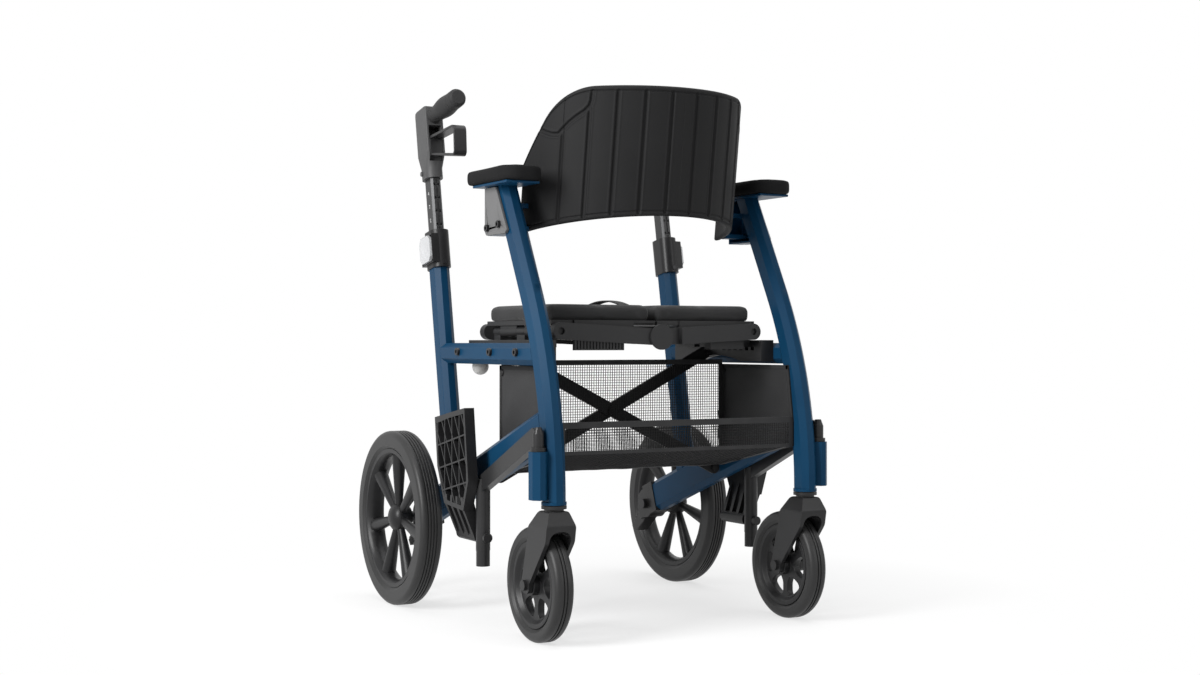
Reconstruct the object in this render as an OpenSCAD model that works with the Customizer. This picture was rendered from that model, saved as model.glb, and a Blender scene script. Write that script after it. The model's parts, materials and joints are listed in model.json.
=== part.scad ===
// Rollator transport chair: two wheeled side frames that fold together about a seat hinged in the middle.
// Millimetres. +Z is up, -Y points to the casters, the origin lies under the middle of the chair.
// Each piece is drawn for the right-hand side (+X) and mirrored for the left.

/* [Stance] */
// Distance from the caster axles to the rear axles
wheelbase = 458.5; // [440:0.5:480]
// Distance between the middle planes of the two side frames
frame_track = 482; // [460:1:520]
// Gap between the axle end cap and the side of the rear tyre
wheel_gap = 17.2; // [14:0.1:24]

/* [Rear wheels] */
// Outer diameter of the rear tyre
rear_d = 315; // [305:1:325]
// Width of the rear tyre
rear_tyre_w = 42; // [36:1:48]
// Height of the rear tyre's section
rear_tyre_h = 32; // [26:1:36]
// Number of spokes of the rear rim
rear_spokes = 7; // [5:1:9]
// Half width of a rear spoke at its waist
rear_spoke_half = 9; // [7:0.5:12]
// Diameter of the rear axle bolt
rear_axle_d = 12; // [10:0.5:14]

/* [Casters] */
// Outer diameter of the caster tyre
caster_d = 183.8; // [176:0.2:190]
// Width of the caster tyre
caster_tyre_w = 33; // [28:1:36]
// Height of the caster tyre's section
caster_tyre_h = 22; // [18:1:26]
// Number of spokes of the caster rim
caster_spokes = 6; // [5:1:8]
// Half width of a caster spoke at its waist
caster_spoke_half = 6.5; // [5:0.5:9]
// Distance of the caster axle behind the stem
caster_trail = 50; // [42:1:56]
// Diameter of the caster stem
caster_stem_d = 16; // [12:0.5:20]
// Diameter of the caster axle bolt
caster_axle_d = 10; // [8:0.5:12]
// Thickness of a fork leg
fork_leg_t = 7; // [5:0.5:9]

/* [Side frames] */
// Width of the frame tubes across the chair
tube_w = 30; // [26:1:34]
// Depth of the leg and upright tubes
tube_d = 40; // [36:1:44]
// Chamfer along the edges of the tubes
tube_chamfer = 9; // [6:0.5:11]
// Wall of the tubes
tube_wall = 2; // [1.5:0.1:3]
// Height of the front leg's lower end above the floor
leg_foot_z = 226; // [222:1:232]
// Radius of the front leg's sweep
leg_r = 703; // [650:1:760]
// Angle of the front leg's sweep
leg_sweep = 28; // [24:0.5:30]
// Height of the side rail's middle
rail_z = 457; // [445:1:470]
// Height of the side rail's section
rail_h = 36; // [30:1:40]
// Height of the lower tube's section
lower_h = 60; // [50:1:66]
// Slope of the lower tube
lower_drop = 20; // [18:0.5:22]
// Height of the lower tube's middle line over the axle
lower_lift = 6.3; // [2:0.1:12]
// Distance from the axle to the lower tube's rear end
lower_stop = 36; // [30:1:44]
// Lean of the rear upright
upright_lean = 10.5; // [8:0.5:13]
// Distance of the upright before the axle, at the rail
upright_lead = 84; // [76:1:92]
// Width of the axle end cap
cap_w = 34; // [31:1:36]

/* [Handles] */
// Length of the collar on the upright
collar_len = 69; // [60:1:78]
// Height of the collar's lower end over the rail, along the upright
collar_low = 154; // [140:1:170]
// Thickness of the handle stem
stem_w = 20; // [16:0.5:22]
// Depth of the handle stem
stem_d = 32; // [28:0.5:33]
// Length of stem that shows between the collar and the handle
stem_show = 98; // [80:1:110]
// Spacing of the height notches
notch_pitch = 25; // [20:1:30]
// Diameter of the grip
grip_d = 33; // [29:0.5:36]
// Length of the grip
grip_len = 110; // [100:1:120]
// Width of the brake lever's strap
lever_w = 24; // [20:1:26]
// Side of the height button
button_size = 47; // [42:1:50]

/* [Seat] */
// Distance of the seat hinge inside the frame's middle plane
seat_inset = 53; // [50:0.5:58]
// Height of the seat hinge over the side rail's middle
seat_rise = 37.5; // [36:0.5:42]
// How far the middle hinge lies below the side hinges
seat_dip = 9.5; // [6:0.5:12]
// Depth of the seat cushion
cushion_depth = 239; // [220:1:250]
// Thickness of the seat cushion at its crown
cushion_h = 26; // [20:1:30]
// Diameter of the hinge barrels
barrel_d = 18; // [15:0.5:19]
// Diameter of the hinge pins
pin_d = 8; // [6:0.5:9]

/* [Cross brace and basket] */
// Height of a cross bar
bar_h = 22; // [18:1:24]
// Thickness of a cross bar
bar_t = 6; // [4:0.5:7]
// Height of the cross bars' lower ends
bar_low_z = 247; // [235:1:260]
// Depth of the basket, front to back
basket_len = 220; // [200:1:222]
// Thickness of the basket's fabric
fabric_t = 3; // [2:0.5:3.5]

/* [Armrests and backrest] */
// Height of the leg's upper end, under the armrest plate
arm_z = 734; // [715:1:745]
// Width of the armrest pad
pad_w = 80; // [74:1:86]
// Length of the armrest pad
pad_len = 159; // [145:1:165]
// Thickness of the armrest pad
pad_h = 26; // [20:1:30]
// Distance of the backrest's end inside the frame's middle plane
back_inset = 45.4; // [42:0.2:50]
// How far the backrest's middle stands before its ends
back_depth = 167; // [155:1:175]
// Thickness of the backrest
back_t = 12; // [9:0.5:13]
// Recline of the backrest
back_lean = 8; // [6:0.5:9]
// Height of the backrest's upper edge
back_top_z = 900; // [880:1:920]
// Angle between two panel grooves
groove_pitch = 12.9; // [11:0.1:13.5]
// Drop of the backrest's rounded upper corners
back_round = 131; // [110:1:145]

/* [Footrests] */
// Diameter of the footrest post
post_d = 18; // [15:0.5:20]
// Length of the footrest socket
socket_len = 75; // [65:1:80]
// Reach of the footrest arm
hanger_reach = 204; // [195:1:215]
// Slope of the footrest arm
hanger_slope = 24.7; // [22:0.5:27]
// Diameter of the footrest tube
foot_tube_d = 24; // [20:0.5:25]
// Height of the footplate hinge
foot_hinge_z = 152; // [146:1:160]
// Thickness of the footplate
plate_t = 18; // [14:0.5:20]

/* [Hidden] */
$fn = 48;
blue = [0.10, 0.25, 0.41];
black = [0.10, 0.10, 0.11];
dark = [0.19, 0.19, 0.20];
grey = [0.45, 0.46, 0.48];
steel = [0.62, 0.63, 0.65];

// Clearances
run_gap = 0.05;
slide_gap = 0.3;
side_gap = 0.6;

// Main places
overall = wheelbase + rear_d / 2 + caster_d / 2;
rear_y = overall / 2 - rear_d / 2;
rear_z = rear_d / 2;
caster_y = -overall / 2 + caster_d / 2;
caster_z = caster_d / 2;
stem_y = caster_y - caster_trail;
frame_x = frame_track / 2;
tube_in = frame_x - tube_w / 2;
tube_out = frame_x + tube_w / 2;
rear_x = frame_x + cap_w / 2 + wheel_gap + rear_tyre_w / 2;
upright_y = rear_y - upright_lead;
leg_arc_z = leg_foot_z + 4;
leg_end_y = stem_y + leg_r * (1 - cos(leg_sweep));
leg_end_z = leg_arc_z + leg_r * sin(leg_sweep);
lower_start_z = rear_z + (rear_y - stem_y) * tan(lower_drop) + lower_lift / cos(lower_drop);
lower_start_y = leg_y(lower_start_z);

// Seat places
hinge_x = frame_x - seat_inset;
hinge_z = rail_z + seat_rise;
mid_z = hinge_z - seat_dip;
seat_front = stem_y + 97;
seat_back = seat_front + cushion_depth;
board_top = hinge_z + 18.2;
board_low = hinge_z + barrel_d / 2 + 1.5;
bar_end_r = 14;
front_bar_y = seat_front - 21;
rear_bar_y = seat_back + 8;
seat_bar_t = 18;
mid_pin_d = 10;
seam_half = 2;
base_top = hinge_z - bar_end_r - 0.5;
base_in = tube_in - 26;

// Cross bar places
bar_pin_x = frame_x - 37;
bar_pin_z = rail_z + 3;
bar_low_x = tube_in - 1 - bar_h / 2;
bar_slope = atan((bar_pin_z - bar_low_z) / (bar_pin_x + bar_low_x));
bar_y = stem_y + 249;

// Backrest places
back_x = frame_x - back_inset;
back_y = stem_y + 195;
back_r = (back_x * back_x + back_depth * back_depth) / (2 * back_depth);
back_mid_y = back_y - back_depth + back_r;
back_half = atan2(back_x, back_r - back_depth);
back_ref_z = arm_z - 27;
back_seam = 4.5 * groove_pitch;
back_end = back_half + 2.5;
round_from = 36;

// Footrest places
socket_d = post_d + 9;
post_x = tube_out - 1 + socket_d / 2;
socket_z = leg_foot_z + 5;
socket_top = socket_z + socket_len;
foot_tube_y = stem_y + hanger_reach;
plate_in = post_x + foot_tube_d / 2 + 1.3;

// Handle places, along the upright from the rail's middle
collar_top = collar_low + collar_len;
upright_top = collar_low + collar_len * 0.6;
handle_low = collar_top + stem_show;
grip_up = handle_low + 113;
body_front = 28;
lever_pivot_up = handle_low + 51;
lever_pivot_y = -8;
button_up = collar_low + collar_len / 2;

// Middle of the front leg at height z
function leg_y(z) = z <= leg_arc_z ? stem_y
    : z <= leg_end_z ? stem_y + leg_r - sqrt(leg_r * leg_r - (z - leg_arc_z) * (z - leg_arc_z))
    : leg_end_y + (z - leg_end_z) * tan(leg_sweep);
// Middle of the rear upright at height z
function upright_at(z) = upright_y + (z - rail_z) * tan(upright_lean);
// Outline with its corners rounded, corner by corner
function corner(a, p, b, r, n) = let (u = (a - p) / norm(a - p), v = (b - p) / norm(b - p), half = acos(u * v) / 2,
    c = p + (u + v) / norm(u + v) * r / sin(half), s = p + u * r / tan(half) - c, e = p + v * r / tan(half) - c,
    a0 = atan2(s[1], s[0]), turn = (atan2(e[1], e[0]) - a0 + 900) % 360 - 180) arc(c, r, a0, a0 + turn, n);
function rounded(pts, r, n) = let (m = len(pts)) [for (i = [0 : m - 1],
    q = corner(pts[(i + m - 1) % m], pts[i], pts[(i + 1) % m], r[i], n)) q];
// Points of an arc
function arc(c, r, a0, a1, n) = [for (i = [0 : n]) c + r * [cos(a0 + (a1 - a0) * i / n), sin(a0 + (a1 - a0) * i / n)]];

module side(s) {
    if (s > 0) children();
    else mirror([1, 0, 0]) children();
}

// Frame of the rear upright: local +Z runs up the tube from the rail's middle
module on_upright() translate([frame_x, upright_y, rail_z]) rotate([-upright_lean, 0, 0]) children();
// Frame of the lower tube: local +Y runs down the tube, origin at the rear axle
module on_lower() translate([frame_x, rear_y, rear_z]) rotate([-lower_drop, 0, 0]) children();
// Frame of the backrest: local +Z runs up its recline, origin in the middle of its bow
module on_back() translate([0, back_mid_y, back_ref_z]) rotate([back_lean, 0, 0]) children();
// Outline in the plane across X, drawn as [y, z] and extruded along +X
module across(x0, x1) translate([x0, 0, 0]) rotate([90, 0, 90]) linear_extrude(x1 - x0) children();
// Outline in the plane across Y, drawn as [x, z] and extruded along +Y
module facing(y0, y1) translate([0, y1, 0]) rotate([90, 0, 0]) linear_extrude(y1 - y0) children();
module rod_x(d, x0, x1) translate([x0, 0, 0]) rotate([0, 90, 0]) cylinder(d = d, h = x1 - x0);
module rod_y(d, y0, y1) translate([0, y1, 0]) rotate([90, 0, 0]) cylinder(d = d, h = y1 - y0);

// Faceted tube section, shrunk by t
module section(w, d, t) {
    a = w / 2 - t;
    b = d / 2 - t;
    c = tube_chamfer - t * (2 - sqrt(2));
    polygon([[-a + c, -b], [a - c, -b], [a, -b + c], [a, b - c], [a - c, b], [-a + c, b], [-a, b - c], [-a, -b + c]]);
}

module leg_form(t) translate([frame_x, 0, 0]) {
    translate([0, stem_y, leg_foot_z]) linear_extrude(leg_arc_z - leg_foot_z) section(tube_w, tube_d, t);
    translate([0, stem_y + leg_r, leg_arc_z]) rotate([90, 0, -90])
        rotate_extrude(angle = leg_sweep, $fn = 180) translate([leg_r, 0]) section(tube_d, tube_w, t);
    translate([0, leg_end_y, leg_end_z]) rotate([-leg_sweep, 0, 0])
        linear_extrude((arm_z - leg_end_z) / cos(leg_sweep) + tube_d) section(tube_w, tube_d, t);
}

// Facets of a tube's +Y side, carried past its flanks: what a tube joining it from there is cut by
module cope() {
    past = 3;
    slack = 0.4;
    flank = tube_w / 2 + past;
    low = tube_d / 2 - tube_chamfer - past + slack;
    top = tube_w / 2 - tube_chamfer + slack;
    translate([0, 0, -2 * tube_d]) linear_extrude(4 * tube_d) polygon([[-flank, low], [-flank, -2 * tube_d],
        [flank, -2 * tube_d], [flank, low], [top, tube_d / 2], [-top, tube_d / 2]]);
}
// The same on the leg's slope at height z, moved back by the slack
module leg_cope(z, slack) translate([frame_x, leg_y(z) + slack, z])
    rotate([-asin((z - leg_arc_z) / leg_r), 0, 0]) cope();

module upright_form(t) on_upright() translate([0, 0, -rail_z / 2])
    linear_extrude(rail_z / 2 + upright_top) section(tube_w, tube_d, t);

module lower_form(t) on_lower() {
    span = (rear_y - lower_start_y) / cos(lower_drop) + lower_lift * tan(lower_drop);
    translate([0, -lower_stop, lower_lift]) rotate([90, 0, 0])
        linear_extrude(span - lower_stop) section(tube_w, lower_h, t);
}

// Frame tubes
module front_leg(s) side(s) color(blue) difference() {
    plug = 62;
    union() {
        leg_form(0);
        translate([frame_x, stem_y, leg_foot_z - 3.5]) cylinder(d = tube_d, h = 4.5);
        translate([post_x, stem_y, socket_z]) linear_extrude(socket_len) section(socket_d, tube_d - 8, 0);
    }
    difference() {
        leg_form(tube_wall);
        translate([0, stem_y - tube_d, 0]) cube([2 * frame_x, 2 * tube_d, leg_foot_z + plug]);
    }
    translate([frame_x, stem_y, leg_foot_z - 4]) cylinder(d = caster_stem_d + 2 * run_gap, h = plug - 8);
    translate([post_x, stem_y, socket_z - 1]) cylinder(d = post_d + 2 * run_gap, h = socket_len + 2);
    translate([0, -overall, arm_z]) cube([2 * frame_x, 2 * overall, tube_d * 3]);
}

module rear_upright(s) side(s) color(blue) difference() {
    upright_form(0);
    upright_form(tube_wall);
    lower_form(0);
}

module lower_tube(s) side(s) color(blue) difference() {
    lower_form(0);
    lower_form(tube_wall);
    leg_cope(lower_start_z, 0.8);
}

module side_rail(s) side(s) color(blue) difference() {
    y0 = leg_y(rail_z);
    y1 = upright_at(rail_z);
    translate([frame_x, y1, rail_z]) rotate([90, 0, 0]) linear_extrude(y1 - y0) section(tube_w, rail_h, 0);
    translate([frame_x, y1, rail_z]) rotate([90, 0, 0]) linear_extrude(y1 - y0) section(tube_w, rail_h, tube_wall);
    leg_cope(rail_z, 0.3);
    on_upright() mirror([0, 1, 0]) cope();
}

// Rear end of the lower tube: plug, axle boss and ribbed tipping pedal
module axle_cap(s) side(s) color(dark) on_lower() difference() {
    boss_r = lower_h / 2 - 2;
    pedal_tip = 68;
    union() {
        across(-cap_w / 2, cap_w / 2) union() {
            translate([-lower_stop, lower_lift - lower_h / 2]) square([lower_stop, lower_h - 1]);
            translate([0, 1]) circle(r = boss_r);
            translate([-6, lower_lift - lower_h / 2]) square([36, 26]);
        }
        across(-cap_w / 2 + 4, cap_w / 2 - 4) polygon([[8, -20], [30, -2], [pedal_tip + 4, -26], [pedal_tip, -38],
            [pedal_tip - 10, -40], [26, -30]]);
        translate([0, -lower_stop, lower_lift]) rotate([90, 0, 0]) linear_extrude(24)
            section(tube_w, lower_h, tube_wall + 0.2);
    }
    rod_x(rear_axle_d + 2 * run_gap, -cap_w, cap_w);
    for (i = [0 : 4]) translate([-cap_w, 40 + i * 7, -11 - i * 3.6]) rotate([-30, 0, 0]) cube([2 * cap_w, 2.4, 6]);
}

// Rear wheels
function tyre_outline(r, h, w, n) = concat(
    [[r - h, -w / 2 + 5], [r - h + 6, -w / 2]],
    arc([r - 9, -w / 2 + 9], 9, -90, 0, 5),
    [for (i = [0 : n - 1]) let (z = (i - (n - 1) / 2) * 5.4) for (p = [[0, -1.1], [-2.4, -1.1], [-2.4, 1.1], [0, 1.1]])
        [r + p[0], z + p[1]]],
    arc([r - 9, w / 2 - 9], 9, 0, 90, 5),
    [[r - h + 6, w / 2], [r - h, w / 2 - 5]]);

// Opening between two spokes, which flare at hub and rim
function spoke_half(r, r0, r1, h) = h + 5 * pow(abs(2 * r - r0 - r1) / (r1 - r0), 4);
function window_edge(r0, r1, n, h, dir) = [for (i = [0 : 8]) let (r = r0 + (r1 - r0) * i / 8,
    a = dir * (180 / n - asin(spoke_half(r, r0, r1, h) / r))) r * [cos(a), sin(a)]];
module spoke_window(r0, r1, n, h) {
    low = window_edge(r0, r1, n, h, -1);
    high = window_edge(r0, r1, n, h, 1);
    far = atan2(high[8][1], high[8][0]);
    near = atan2(high[0][1], high[0][0]);
    polygon(concat(low, arc([0, 0], r1, -far * 0.7, far * 0.7, 4), [for (i = [8 : -1 : 0]) high[i]],
        arc([0, 0], r0, near * 0.6, -near * 0.6, 3)));
}

module rim_form(rim_r, rim_w, hub_r, hub_half, web_t, n, h) {
    rotate_extrude($fn = 96) polygon([[rim_r - 10, -rim_w / 2 + 3], [rim_r - 7, -rim_w / 2], [rim_r, -rim_w / 2],
        [rim_r, rim_w / 2], [rim_r - 7, rim_w / 2], [rim_r - 10, rim_w / 2 - 3], [rim_r - 14, web_t / 2],
        [rim_r - 14, -web_t / 2]]);
    difference() {
        translate([0, 0, -web_t / 2]) cylinder(r = rim_r - 12, h = web_t);
        for (i = [0 : n - 1]) rotate([0, 0, (i + 0.5) * 360 / n]) translate([0, 0, -web_t])
            linear_extrude(2 * web_t) spoke_window(hub_r + 8, rim_r - 16, n, h);
    }
    translate([0, 0, -hub_half]) cylinder(r = hub_r, h = 2 * hub_half);
}

module at_rear_wheel() translate([rear_x, rear_y, rear_z]) rotate([0, 90, 0]) children();

module rear_tyre(s) side(s) color(black) at_rear_wheel() rotate_extrude($fn = 96)
    polygon(tyre_outline(rear_d / 2, rear_tyre_h, rear_tyre_w, 4));

// Rim with flared round spokes that grow out of a domed hub
rear_hub_half = 19;
module rear_rim(s) side(s) color(dark) at_rear_wheel() difference() {
    rim_r = rear_d / 2 - rear_tyre_h - 0.1;
    rim_half = rear_tyre_w / 2 - 4;
    lip = rim_r - 14;
    hub_r = 25;
    union() {
        rotate_extrude($fn = 96) polygon([[rim_r - 10, -rim_half + 3], [rim_r - 7, -rim_half], [rim_r, -rim_half],
            [rim_r, rim_half], [rim_r - 7, rim_half], [rim_r - 10, rim_half - 3], [lip, 7], [lip, -7]]);
        for (i = [0 : rear_spokes - 1]) rotate([0, 0, (i + 0.5) * 360 / rear_spokes]) rotate([0, 90, 0])
            translate([0, 0, hub_r / 2]) cylinder(r1 = rear_spoke_half - 3, r2 = rear_spoke_half + 4, h = lip + 2 - hub_r / 2);
        rotate_extrude() polygon(concat([[0, -rear_hub_half], [hub_r - 6, -rear_hub_half], [hub_r - 2, -9]],
            [for (i = [0 : 6]) [hub_r * cos(15 * i), 3 + (rear_hub_half - 3) * sin(15 * i)]]));
    }
    translate([0, 0, -rear_hub_half - 1]) cylinder(d = rear_axle_d + 2 * run_gap, h = 2 * rear_hub_half - 6);
}

// Casters
module at_caster() translate([frame_x, caster_y, caster_z]) rotate([0, 90, 0]) children();

module caster_tyre(s) side(s) color(black) at_caster() rotate_extrude($fn = 72)
    polygon(tyre_outline(caster_d / 2, caster_tyre_h, caster_tyre_w, 2));

module caster_rim(s) side(s) color(dark) at_caster() difference() {
    rim_form(caster_d / 2 - caster_tyre_h - 0.1, caster_tyre_w - 6, 17, caster_tyre_w / 2 + 1.5, 12, caster_spokes,
        caster_spoke_half);
    translate([0, 0, -caster_tyre_w]) cylinder(d = caster_axle_d + 2 * run_gap, h = 2 * caster_tyre_w);
}

module caster_fork(s) side(s) color(dark) translate([frame_x, stem_y, 0]) {
    top = leg_foot_z - 3.5 - slide_gap;
    neck = 9;
    dome = top - neck;
    crown_low = caster_d + 7;
    gap_half = caster_tyre_w / 2 + 2.5;
    out_half = gap_half + fork_leg_t;
    boss_r = 13;
    axle = [caster_trail, caster_z];
    difference() {
        union() {
            translate([0, 0, crown_low]) cylinder(d = caster_stem_d, h = leg_foot_z + 44 - crown_low);
            translate([0, 0, dome - 1]) cylinder(d = tube_d - 9, h = neck + 1);
            translate([0, 0, dome + 3]) cylinder(d = tube_d, h = 5);
            intersection() {
                across(-out_half, out_half) polygon(rounded([[-17, dome], [18, dome], [41, crown_low - 8],
                    [41, crown_low - 20], axle + [boss_r, 3], axle + [boss_r - 3, -boss_r], axle - [boss_r, boss_r],
                    axle + [-boss_r - 2, 4], [-21, crown_low - 26], [-26, crown_low]], [3, 12, 20, 20, 6, 11, 11, 6, 20, 14], 4));
                facing(-2 * tube_d, 4 * tube_d) polygon(rounded([[-17, dome], [17, dome], [out_half, crown_low - 2],
                    [out_half, 0], [-out_half, 0], [-out_half, crown_low - 2]], [6, 6, 16, 1, 1, 16], 5));
            }
        }
        intersection() {
            translate([0, caster_trail, caster_z]) rod_x(caster_d + 8, -gap_half, gap_half);
            facing(-2 * caster_d, 2 * caster_d) polygon(rounded([[gap_half, -1], [gap_half, caster_d + 5],
                [-gap_half, caster_d + 5], [-gap_half, -1]], [1, 9, 9, 1], 4));
        }
        facing(-2 * tube_d, 3) polygon(rounded([[gap_half, -1], [gap_half, crown_low - 9], [-gap_half, crown_low - 9],
            [-gap_half, -1]], [1, 15, 15, 1], 6));
        translate([0, caster_trail, caster_z]) rod_x(caster_axle_d + 2 * run_gap, -2 * out_half, 2 * out_half);
    }
    translate([0, caster_trail, caster_z]) {
        rod_x(caster_axle_d, -out_half - 2, out_half + 2);
        rod_x(17, out_half + run_gap, out_half + 5);
        rod_x(17, -out_half - 5, -out_half - run_gap);
    }
}

// Handles
module oval(w, d, h) {
    r = w / 2;
    for (e = [-1, 1]) translate([0, e * (d / 2 - r), 0]) cylinder(r = r, h = h);
    translate([-r, -d / 2 + r, 0]) cube([w, d - w, h]);
}

// Section of the handle stem, grown by t
module stem_section(t) {
    a = stem_w / 2 + t;
    b = stem_d / 2 + t;
    c = 4 + t * (2 - sqrt(2));
    polygon([[-a + c, -b], [a - c, -b], [a, -b + c], [a, b - c], [a - c, b], [-a + c, b], [-a, b - c], [-a, -b + c]]);
}

// Collar: grips the upright's top, guides the stem and carries the button's pocket
collar_w = tube_w + 5;
collar_d = tube_d + 15;
pocket_floor = tube_w / 2 + 2;
module collar(s) side(s) color(black) on_upright() difference() {
    union() {
        translate([0, 0, collar_low]) oval(collar_w, collar_d, collar_len);
        translate([0, -button_size / 2 - 2, button_up - button_size / 2 - 3])
            cube([pocket_floor + 5, button_size + 4, button_size + 6]);
    }
    translate([0, 0, collar_low - 1]) linear_extrude(upright_top - collar_low + 1) section(tube_w, tube_d, 0);
    linear_extrude(collar_top + 1) stem_section(slide_gap);
    translate([pocket_floor, -button_size / 2 - slide_gap, button_up - button_size / 2 - slide_gap])
        cube([20, button_size + 2 * slide_gap, button_size + 2 * slide_gap]);
    translate([0, 0, upright_top + 8]) rod_x(8 + 2 * run_gap, 0, pocket_floor + 1);
}

module height_button(s) side(s) color(steel) on_upright() {
    face = pocket_floor + 9;
    travel = 3;
    difference() {
        translate([pocket_floor + travel + 0.5, -button_size / 2, button_up - button_size / 2])
            cube([face - pocket_floor - travel - 0.5, button_size, button_size]);
        for (y = [-1, 1], z = [-1, 1]) translate([0, y * button_size / 2, button_up + z * button_size / 2])
            rotate([45, 0, 0]) translate([0, -6, -6]) cube([40, 12, 12]);
        translate([face + 56, 0, button_up]) sphere(r = 58, $fn = 64);
    }
    translate([0, 0, upright_top + 8]) rod_x(8, stem_w / 2 + travel + 1.5, face - 4);
}

module handle_stem(s) side(s) color(dark) on_upright() difference() {
    foot = collar_low - 130;
    union() {
        translate([0, 0, foot]) linear_extrude(handle_low + 40 - foot) stem_section(0);
        translate([0, 0, foot]) linear_extrude(20) section(tube_w, tube_d, tube_wall + slide_gap);
    }
    translate([-2, -stem_d / 2 - 1, foot + 30]) cube([4, 3, handle_low - foot - 34]);
    for (z = [handle_low - notch_pitch / 2 : -notch_pitch : collar_top - 4 * notch_pitch])
        translate([0, -stem_d / 2, z]) rotate([45, 0, 0]) cube([stem_w - 8, 4, 4], center = true);
}

// Housing: sleeve on the stem, widening to two cheeks with a deep recess for the lever between them
body_half = stem_w / 2 + 7.5;
body_back = 26;
module handle_body(s) side(s) color(dark) on_upright() difference() {
    sleeve = 20;
    flare = 46;
    top = grip_up + body_half;
    plan = rounded([[body_half, -body_front], [body_half, body_back], [-body_half, body_back], [-body_half, -body_front]],
        [3, 9, 9, 3], 3);
    union() {
        translate([0, 0, handle_low]) oval(stem_w + 13, stem_d + 13, sleeve);
        hull() {
            translate([0, 0, handle_low + sleeve - 1]) oval(stem_w + 13, stem_d + 13, 1);
            translate([0, 0, handle_low + flare]) linear_extrude(1) polygon(plan);
        }
        intersection() {
            translate([0, 0, handle_low + flare]) linear_extrude(top - handle_low - flare) polygon(plan);
            across(-stem_w, stem_w) polygon(rounded([[-2 * body_front, handle_low], [body_back, handle_low],
                [body_back, top], [-2 * body_front, top]], [1, 1, 17, 1], 6));
        }
        translate([0, 0, grip_up]) rod_y(22, -body_front - grip_len + 8, -body_front + 1);
        translate([0, 8, handle_low + 12]) rod_x(9, stem_w / 2 + 4, stem_w / 2 + 8.5);
    }
    translate([0, 0, handle_low - 1]) linear_extrude(41) stem_section(0);
    difference() {
        across(-lever_w / 2 - 0.8, lever_w / 2 + 0.8) polygon([[-2 * body_front, handle_low + 24],
            [-stem_d / 2 - 2.5, handle_low + 30], [-stem_d / 2 - 2.5, handle_low + 42], [2, handle_low + 42],
            [2, grip_up - body_half], [-2 * body_front, grip_up - body_half]]);
        translate([0, lever_pivot_y, lever_pivot_up]) rod_x(6, -stem_w, stem_w);
    }
}

// Rubber sleeve with a neck ring, a palm swell, a ring groove and a closed end
module grip(s) side(s) color(black) on_upright() translate([0, 0, grip_up]) difference() {
    r = grip_d / 2;
    cap = grip_len - 21;
    translate([0, -body_front - slide_gap, 0]) rotate([90, 0, 0]) rotate_extrude() polygon(concat(
        [[0, 0], [r - 2.5, 0], [r - 1.5, 2], [r - 1.5, 14], [r - 2.3, 15], [r - 2.3, 16.5], [r - 1.5, 17.5]],
        [for (i = [1 : 9]) [r - 1.5 + 2.6 * pow(sin(i * 18), 2) + i * 0.16, 17.5 + i * (cap - 18.5) / 10]],
        [[r, cap - 1], [r - 1, cap - 0.4], [r - 1, cap + 0.8], [r + 0.2, cap + 1.4], [r, grip_len - 6],
        [r - 1.6, grip_len - 2], [r - 4.5, grip_len], [0, grip_len]]));
    rod_y(22 + 0.1, -body_front - grip_len + 7.5, 0);
}

// Brake lever: closed loop of strap with a tongue that turns on a pin in the housing
module brake_lever(s) side(s) color(dark) on_upright() {
    strap = 4.5;
    tongue_w = lever_w - 5;
    back = -body_front + 4;
    front = -body_front - 112;
    up = lever_pivot_up;
    corners = [[back, up - 12], [back, up + 24], [front + 3, up + 13], [front + 10, up - 44]];
    rounding = [6, 7, 12, 9];
    difference() {
        union() {
            across(-lever_w / 2, lever_w / 2) difference() {
                polygon(rounded(corners, rounding, 5));
                polygon(rounded([corners[0] + [-strap, strap * 0.75], corners[1] + [-strap, -strap * 1.3],
                    corners[2] + [strap * 1.1, -strap * 0.9], corners[3] + [strap * 0.85, strap * 1.4]],
                    rounding - [strap, strap, strap, strap], 5));
            }
            across(-tongue_w / 2, tongue_w / 2) union() {
                translate([back - 2, up - 5]) square([lever_pivot_y - back + 2, 10]);
                translate([lever_pivot_y, up]) circle(d = 13);
            }
        }
        translate([0, lever_pivot_y, up]) rod_x(6 + 2 * run_gap, -lever_w, lever_w);
    }
}

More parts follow.
